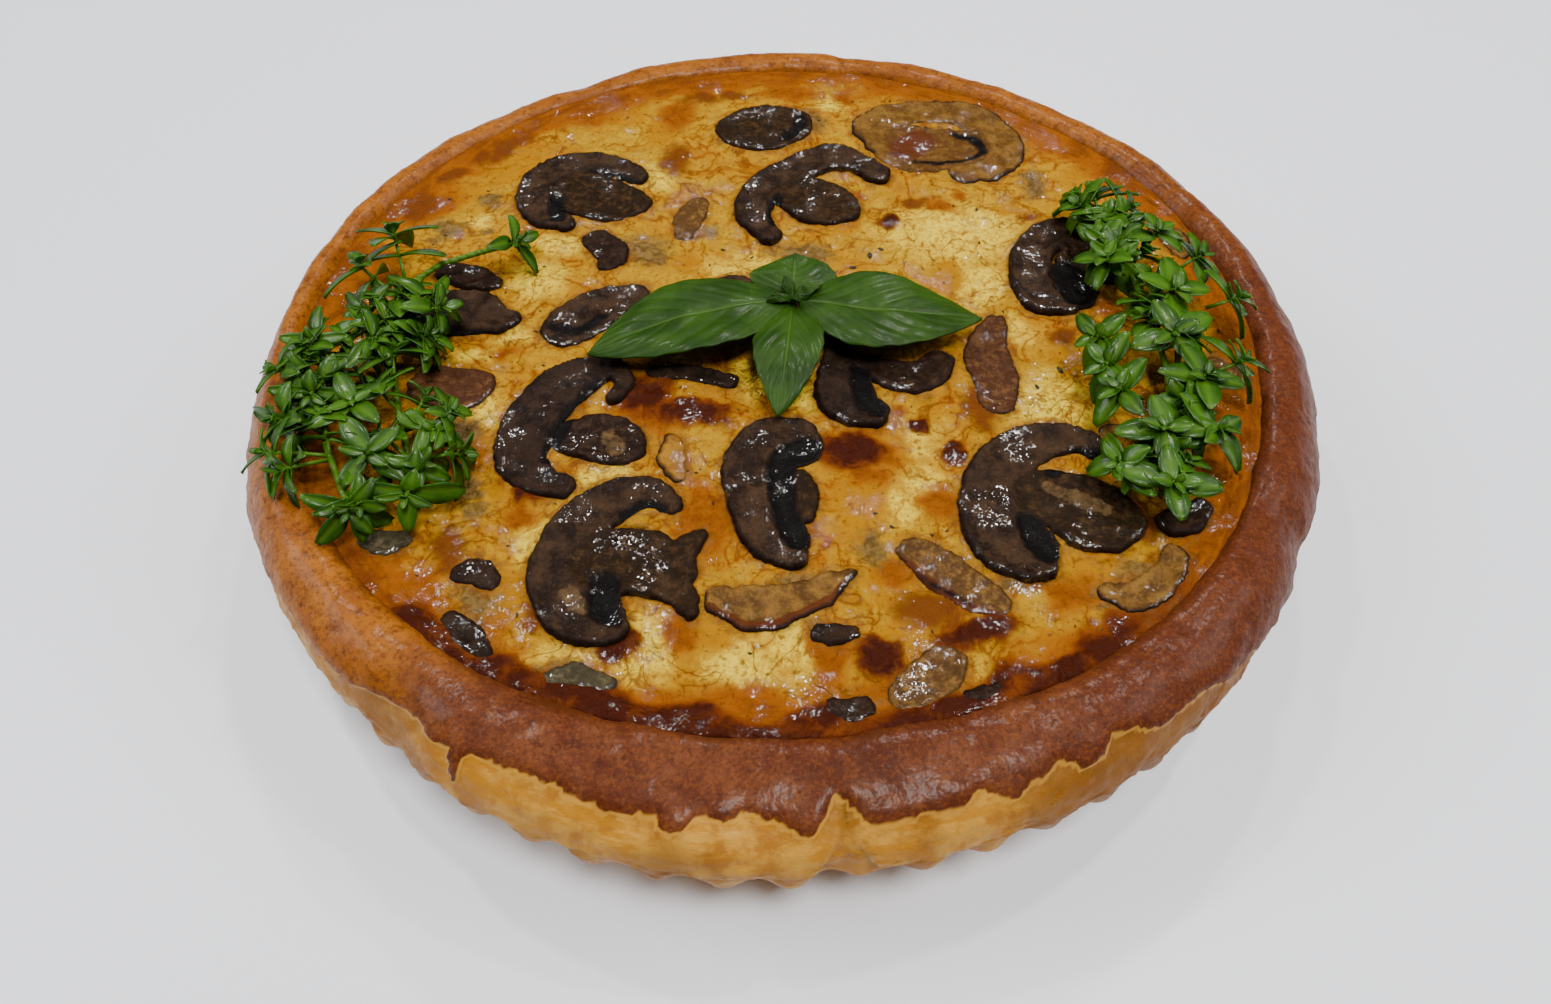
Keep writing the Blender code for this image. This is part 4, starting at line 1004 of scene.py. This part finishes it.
def make_basil_leaf(bm, base, tip, width, bend, arch, layer, uv_layer, thickness=0.35):
    """Adds one wavy leaf with sunk veins; bend curves the rib sideways, arch lifts the middle."""
    leaf = bmesh.ops.create_grid(bm, x_segments=90, y_segments=50, size=0.5)["verts"]
    along_rib = tip - base
    side = Vector((-along_rib.y, along_rib.x, 0.0)).normalized()
    faces = list(dict.fromkeys(face for vert in leaf for face in vert.link_faces))
    places = {}
    for vert in leaf:
        along, across = vert.co.x + 0.5, 2.0 * vert.co.y
        places[vert] = (along, across)
        swell = math.sin(math.pi * along)
        rib = base + along_rib * along + side * bend * swell + Vector((0.0, 0.0, arch * swell))
        wave = 0.7 * math.sin(7.0 * along + 1.5 * (across > 0.0)) * abs(across) ** 2
        droop = (1.8 * across * across - 1.2 * abs(across)) * swell + wave
        droop += 0.8 * swell * noise.noise(Vector((along * 4.0, across * 1.6, width)))
        teeth = 1.0 + 0.014 * math.sin(46.0 * along)
        edge = side * across * 0.5 * width * leaf_outline(along) * teeth
        on_rib, on_branch, quilt = vein(along, across)
        quilt *= swell * smooth(0.05, 0.3, abs(across))
        sunk = 0.3 * on_rib + 0.1 * on_branch + 0.07 * quilt
        vert[layer] = max(0.8 * on_rib, 0.3 * on_branch)
        vert.co = rib + edge - Vector((0.0, 0.0, droop + sunk))
    for face in faces:
        for loop in face.loops:
            loop[uv_layer].uv = places[loop.vert][0], 0.5 + 0.5 * places[loop.vert][1]
    for vert in new_points(
            bmesh.ops.extrude_face_region(bm, geom=faces, use_keep_orig=True)):
        vert.co.z -= thickness


def make_sprig():
    bm = bmesh.new()
    layer = bm.verts.layers.float.new("vein")
    uv_layer = bm.loops.layers.uv.new("leaf")
    for number, (tip, width, bend, arch) in enumerate(SPRIG_LEAVES):
        tip = Vector(tip)
        base = SPRIG_CENTRE + 1.2 * (tip - SPRIG_CENTRE).normalized()
        base.z -= 0.3 * number
        make_basil_leaf(bm, base, tip, width, bend, arch, layer, uv_layer)
    for turn, length, lift in ((20, 7.5, 1.6), (200, 6.5, 1.4), (110, 5.5, 2.4), (290, 4.5, 2.6)):
        toward = Vector((math.cos(math.radians(turn)), math.sin(math.radians(turn)), 0.0))
        base = SPRIG_CENTRE + Vector((0.0, 0.0, 0.3))
        tip = base + toward * length + Vector((0.0, 0.0, lift))
        make_basil_leaf(bm, base, tip, 0.55 * length, 0.0, 0.5, layer, uv_layer, 0.3)
    stem = bmesh.ops.create_cone(
        bm, segments=12, radius1=1.3, radius2=0.9, depth=5.0, cap_ends=True)
    bmesh.ops.translate(bm, verts=stem["verts"], vec=SPRIG_CENTRE - Vector((0.0, 0.0, 3.0)))
    bmesh.ops.scale(bm, vec=(MM, MM, MM), verts=bm.verts[:])
    return bm


def leaf_finish(name, deep, bright, vein_colour, gloss):
    look = Finish(
        name, 0.45, Subsurface_Weight=0.1, Subsurface_Scale=0.002,
        Subsurface_Radius=(0.4, 1.0, 0.2), Specular_IOR_Level=0.12, Coat_Weight=gloss,
        Coat_Roughness=0.2)
    fine = look.grain(0.7, 3.0, 0.6)
    middle = look.grain(3.0)
    colour = look.layers(
        deep,
        (look.fade(look.grain(9.0, 3.0, 0.5), 0.35, 0.65), bright),
        (look.fade(middle, 0.5, 0.75, 0.0, 0.5), deep),
        (look.fade(fine, 0.5, 0.8, 0.0, 0.25), bright),
        (look.sums("MULTIPLY", look.mark("vein"), 0.7), vein_colour))
    return look.join(
        colour, look.fade(fine, 0.3, 0.7, 0.36, 0.52), [(middle, 0.12), (fine, 0.08)],
        [(middle, 0.12)])


finish_piece(
    "sweet_basil", make_sprig(), leaf_finish(
        "basil_leaf", (0.011, 0.036, 0.002, 1.0), (0.024, 0.066, 0.004, 1.0),
        (0.060, 0.130, 0.014, 1.0), 0.08),
    ["basil_sprig"])


# Bush basil bunches
# Two bunches of fresh bush basil, laid on the left and on the right of the quiche. Thin pale
# stems carry shoots with crossed pairs of small pointed leaves, some reaching over the rim.

# Each bunch: the stems it lies on, then the shoots that show: foot, direction, length and leaf
# size. More shoots are drawn: their count, how far they spread, how low they lean, and how slim
# the leaves are.
BUNCHES = {
    "bush_basil_left": dict(
        stems=[
            [(-86, 14, 43), (-89, -1, 44), (-87, -16, 43), (-83, -30, 42), (-78, -44, 41)],
            [(-93, 12, 43), (-99, -8, 43), (-101, -22, 43), (-97, -38, 42), (-90, -52, 41)],
            [(-88, 12, 43), (-82, 18, 43.5), (-74, 22.5, 43), (-69, 26, 42)]],
        shoots=[
            ((-90, 14, 43), (-0.3, 1.0, 0.7), 12, 11.5),
            ((-92, 9, 43), (-0.9, 0.5, 0.6), 10, 10.5),
            ((-70, 25, 42), (1.0, 0.2, 0.5), 4, 10.5), ((-76, -34, 42), (0.4, -0.4, 0.5), 4, 9),
            ((-78, -44, 41), (0.3, -0.9, 0.4), 9, 10), ((-80, -42, 41), (0.6, -0.5, 0.5), 5, 9),
            ((-90, -50, 41), (0.2, -0.9, 0.5), 6, 10), ((-90, -51, 41), (0.7, -0.6, 0.6), 5, 9),
            ((-96, -42, 42), (-0.9, -0.5, 0.4), 7, 10), ((-86, -40, 42), (0.0, -0.4, 0.9), 6, 10),
            ((-97, -35, 42), (-1.0, 0.0, 0.4), 9, 10), ((-92, -30, 42), (0.1, 0.1, 0.9), 6, 10)],
        spread=11.0, count=30, low=0.15, slim=0.48),
    "bush_basil_right": dict(
        stems=[
            [(75.7, 43.4, 39), (80, 38, 42), (82, 30, 44), (83, 14, 44), (85, -4, 44),
             (85, -22, 43.5), (82, -40, 42.5), (77, -54, 41)]],
        shoots=[
            ((80, 37, 42.5), (-0.5, 0.6, 0.5), 3, 6.5), ((88, 18, 44), (0.4, 0.4, 0.9), 6, 9.5),
            ((82, 10, 44), (-0.7, 0.1, 0.9), 6, 9.5), ((95, 12, 43), (0.8, 0.3, 0.7), 5, 9),
            ((87, 0, 45), (0.2, 0.0, 1.0), 6, 10), ((99, -1, 43), (0.9, 0.1, 0.5), 5, 9.5),
            ((86, -13, 45), (0.1, -0.1, 1.0), 6, 10), ((77, -12, 43), (-0.8, -0.1, 0.7), 6, 9.5),
            ((88, -28, 44.5), (0.3, -0.1, 1.0), 6, 10.5),
            ((78, -29, 43), (-0.7, -0.2, 0.7), 6, 9.5),
            ((95, -22, 43), (0.9, -0.1, 0.6), 5, 9.5), ((80, -42, 43), (-0.2, -0.2, 1.0), 6, 10),
            ((86, -40, 43), (0.6, -0.2, 0.9), 5, 10), ((77, -53, 42), (0.0, -0.4, 1.0), 5, 11),
            ((74, -48, 42), (-0.8, -0.3, 0.8), 5, 9.5), ((77, -21, 43), (-0.7, 0.0, 0.8), 6, 9)],
        spread=5.0, count=22, low=0.5, slim=0.58),
}
BUNCH_TOP = 51.6
PRESSED_ABOVE = 45.0       # the leaves above this height are lowered to end at the top
GROUND = 37.4              # height of the custard under the bunches; the rim is a little higher


def point_on_line(line, share):
    place = min(max(share, 0.0), 0.9999) * (len(line) - 1)
    index = int(place)
    return Vector(line[index]).lerp(Vector(line[index + 1]), place - index)


def add_small_leaf(bm, layer, base, toward, up, length, width):
    """Adds a pointed oval cupped leaf of 4 by 7 squares, two faces thick."""
    made = bmesh.ops.create_grid(bm, x_segments=7, y_segments=4, size=0.5)["verts"]
    side = toward.cross(up).normalized()
    over = side.cross(toward).normalized()
    for vert in made:
        along, across = vert.co.x + 0.5, 2.0 * vert.co.y
        half = 0.5 * width * max(0.07, math.sin(math.pi * min(along * 0.9 + 0.02, 1.0)) ** 0.9)
        cup = 0.15 * width * across * across + 0.05 * length * math.sin(math.pi * along)
        curl = -0.2 * length * along * along
        vert[layer] = 0.8 * math.exp(-(across / 0.3) ** 2)
        vert.co = base + toward * along * length + side * across * half + over * (cup + curl)
    faces = list(dict.fromkeys(face for vert in made for face in vert.link_faces))
    for vert in new_points(bmesh.ops.extrude_face_region(bm, geom=faces, use_keep_orig=True)):
        vert.co -= over * 0.25


def add_stem(bm, layer, start, end, radius):
    """Adds a thin pale stem between two points."""
    along = end - start
    turn = along.to_track_quat("Z", "Y").to_matrix().to_4x4()
    made = bmesh.ops.create_cone(
        bm, segments=6, radius1=radius, radius2=0.85 * radius, depth=1.1 * along.length,
        cap_ends=True, matrix=Matrix.Translation((start + end) / 2.0) @ turn)
    for vert in made["verts"]:
        vert[layer] = 0.9


def add_shoot(bm, layer, draw, foot, direction, length, size, slim):
    """Adds a shoot: a bent stem with crossed pairs of leaves that get smaller to its tip."""
    direction = direction.normalized()
    pairs = max(1, round(length / 5.0))
    spin = draw.uniform(0.0, math.pi)
    for pair in range(pairs + 3):
        sway = Vector((draw.uniform(-0.2, 0.2), draw.uniform(-0.2, 0.2), draw.uniform(-0.1, 0.15)))
        direction = (direction + sway).normalized()
        after = foot + direction * (length / pairs if pair < pairs else 0.9)
        add_stem(bm, layer, foot, after, 0.5)
        foot = after
        young = max(pair - pairs + 1, 0)
        leaf = size * (1.0, 0.9, 0.62, 0.36)[young] * draw.uniform(0.88, 1.12)
        lift = (0.1, 0.35, 0.8, 1.6)[young]
        across = direction.orthogonal().normalized()
        for half_turn in (0.0, math.pi):
            angle = spin + pair * math.pi / 2.0 + half_turn + draw.uniform(-0.25, 0.25)
            outward = Matrix.Rotation(angle, 3, direction) @ across
            toward = (outward + direction * (lift + draw.uniform(-0.1, 0.15))).normalized()
            add_small_leaf(bm, layer, foot, toward, direction, leaf, slim * leaf)


def make_bunch(stems, shoots, spread, count, low, slim, seed):
    draw = random.Random(seed)
    bm = bmesh.new()
    layer = bm.verts.layers.float.new("vein")
    for line in stems:
        steps = 4 * (len(line) - 1)
        points = [point_on_line(line, step / steps) for step in range(steps + 1)]
        for start, end in zip(points, points[1:]):
            add_stem(bm, layer, start, end, 0.8)
    for foot, direction, length, size in shoots:
        add_shoot(bm, layer, draw, Vector(foot), Vector(direction), length, size, slim)
    for number in range(count):
        line = stems[number % min(len(stems), 2)]
        foot = point_on_line(line, draw.uniform(0.02, 1.0))
        turn = draw.uniform(0.0, 2.0 * math.pi)
        direction = Vector((math.cos(turn), 0.8 * math.sin(turn), draw.uniform(low, 0.9)))
        add_shoot(bm, layer, draw, foot, direction, spread * draw.uniform(0.4, 1.0),
                  draw.uniform(8.5, 10.5), slim)
    top = max(vert.co.z for vert in bm.verts)
    for vert in bm.verts:
        if vert.co.z > PRESSED_ABOVE:
            squash = min((BUNCH_TOP - PRESSED_ABOVE) / (top - PRESSED_ABOVE), 1.0)
            vert.co.z = PRESSED_ABOVE + (vert.co.z - PRESSED_ABOVE) * squash
        ground = GROUND + 1.8 * smooth(105.0, 112.0, math.hypot(vert.co.x, vert.co.y))
        if vert.co.z < ground:
            vert.co.z = ground + 0.2 * (vert.co.z - ground)
    bmesh.ops.scale(bm, vec=(MM, MM, MM), verts=bm.verts[:])
    return bm


bush_finish = leaf_finish(
    "bush_basil", (0.012, 0.046, 0.002, 1.0), (0.036, 0.110, 0.004, 1.0),
    (0.085, 0.190, 0.012, 1.0), 0.25)
for seed, (name, bunch) in enumerate(BUNCHES.items(), start=3):
    finish_piece(name + "_leaves", make_bunch(seed=seed, **bunch), bush_finish,
                 [name])


# Herb flecks
# Chopped dried herbs and pepper stirred into the custard: dark flakes, up to a millimetre or
# two long, that show where they stuck in the baked top.

FLECK_COUNT = 170
FLECK_RADIUS = 104.0       # the flecks lie within this distance of the middle

# The largest flecks: x, y and size
FLECKS = [(64, -14, 2.2), (52, -22, 1.6), (58, -19, 1.6), (23, 27, 2.4), (18.5, 22.5, 1.8),
          (26, 29, 1.6), (-60, -84, 1.0), (40, -90, 1.2), (22, -58, 1.2), (30, -60, 1.0),
          (-14, 30, 1.4), (52, 44, 1.4)]


def make_flecks():
    draw = random.Random(11)
    bm = bmesh.new()
    spots = list(FLECKS)
    while len(spots) < FLECK_COUNT:
        turn, away = draw.uniform(0.0, 2.0 * math.pi), FLECK_RADIUS * math.sqrt(draw.random())
        spots.append((away * math.cos(turn), away * math.sin(turn), draw.uniform(0.5, 1.1)))
    for x, y, size in spots:
        place = Vector((x, y, custard_top(x, y) + 0.1))
        turn = Matrix.Rotation(draw.uniform(0.0, math.pi), 4, "Z")
        shape = Matrix.Diagonal((0.6 * size, 0.28 * size, 0.25, 1.0))
        bmesh.ops.create_icosphere(
            bm, subdivisions=1, radius=1.0, matrix=Matrix.Translation(place) @ turn @ shape)
    bmesh.ops.scale(bm, vec=(MM, MM, MM), verts=bm.verts[:])
    return bm


def fleck_finish():
    look = Finish("dried_herb", 0.5, Specular_IOR_Level=0.3)
    share = look.fade(look.grain(1.0, 2.0, 0.5), 0.4, 0.6)
    return look.join(look.layers(
        (0.012, 0.012, 0.006, 1.0), (share, (0.040, 0.034, 0.012, 1.0))))


finish_piece("herb_flecks", make_flecks(), fleck_finish())


# Setting
# A plain pale table, soft studio light from a large window and a ceiling, three small lamps
# behind that make the glints, and the camera where the quiche was seen from.

bpy.ops.mesh.primitive_plane_add(size=6.0, location=(0.0, 0.0, 0.0))
table = bpy.context.object
table.name = "table"
table.data.materials.append(
    Finish("table_white", 0.4, Base_Color=(0.895, 0.93, 1.0, 1.0)).material)

world = bpy.data.worlds.new("studio")
bpy.context.scene.world = world
world.use_nodes = True
world.node_tree.nodes["Background"].inputs["Color"].default_value = (0.95, 0.97, 1.0, 1.0)
world.node_tree.nodes["Background"].inputs["Strength"].default_value = 0.07


LIGHT_TARGET = Vector((0.0, 0.0, 0.03))

# Each light: its place and size in metres, its watts and its colour
LIGHTS = {
    "ceiling": ((0.4, -0.6, 2.4), 0.6, 53.0, (1.0, 0.97, 0.93)),
    "window": ((-1.8, 0.3, 1.5), 1.0, 30.0, (0.98, 0.98, 1.0)),
    "fill": ((1.8, 0.0, 1.6), 1.0, 21.5, (1.0, 0.97, 0.94)),
    "lamp_back": ((0.15, 0.75, 0.95), 0.06, 3.4, (1.0, 0.97, 0.93)),
    "lamp_left": ((-0.4, 0.45, 1.0), 0.06, 3.0, (1.0, 0.98, 0.95)),
    "lamp_right": ((0.45, 0.3, 1.0), 0.06, 2.6, (1.0, 0.98, 0.95)),
}
for name, (place, size, watts, colour) in LIGHTS.items():
    light = bpy.data.lights.new(name, "AREA")
    light.size = size
    light.energy = watts
    light.color = colour
    lamp = bpy.data.objects.new(name, light)
    lamp.location = place
    lamp.rotation_euler = (LIGHT_TARGET - Vector(place)).to_track_quat("-Z", "Y").to_euler()
    bpy.context.scene.collection.objects.link(lamp)

camera_data = bpy.data.cameras.new("camera")
camera_data.sensor_width = 36.0
camera_data.lens = 1100.0 / 1551.0 * 36.0
camera_data.clip_start = 0.01
camera = bpy.data.objects.new("camera", camera_data)
camera.matrix_world = (
    Matrix.Translation((-0.00176, -0.19088, 0.21904))
    @ Matrix.Rotation(math.radians(37.5), 4, "X") @ Matrix.Rotation(math.radians(-0.93), 4, "Z"))
bpy.context.scene.collection.objects.link(camera)
bpy.context.scene.camera = camera
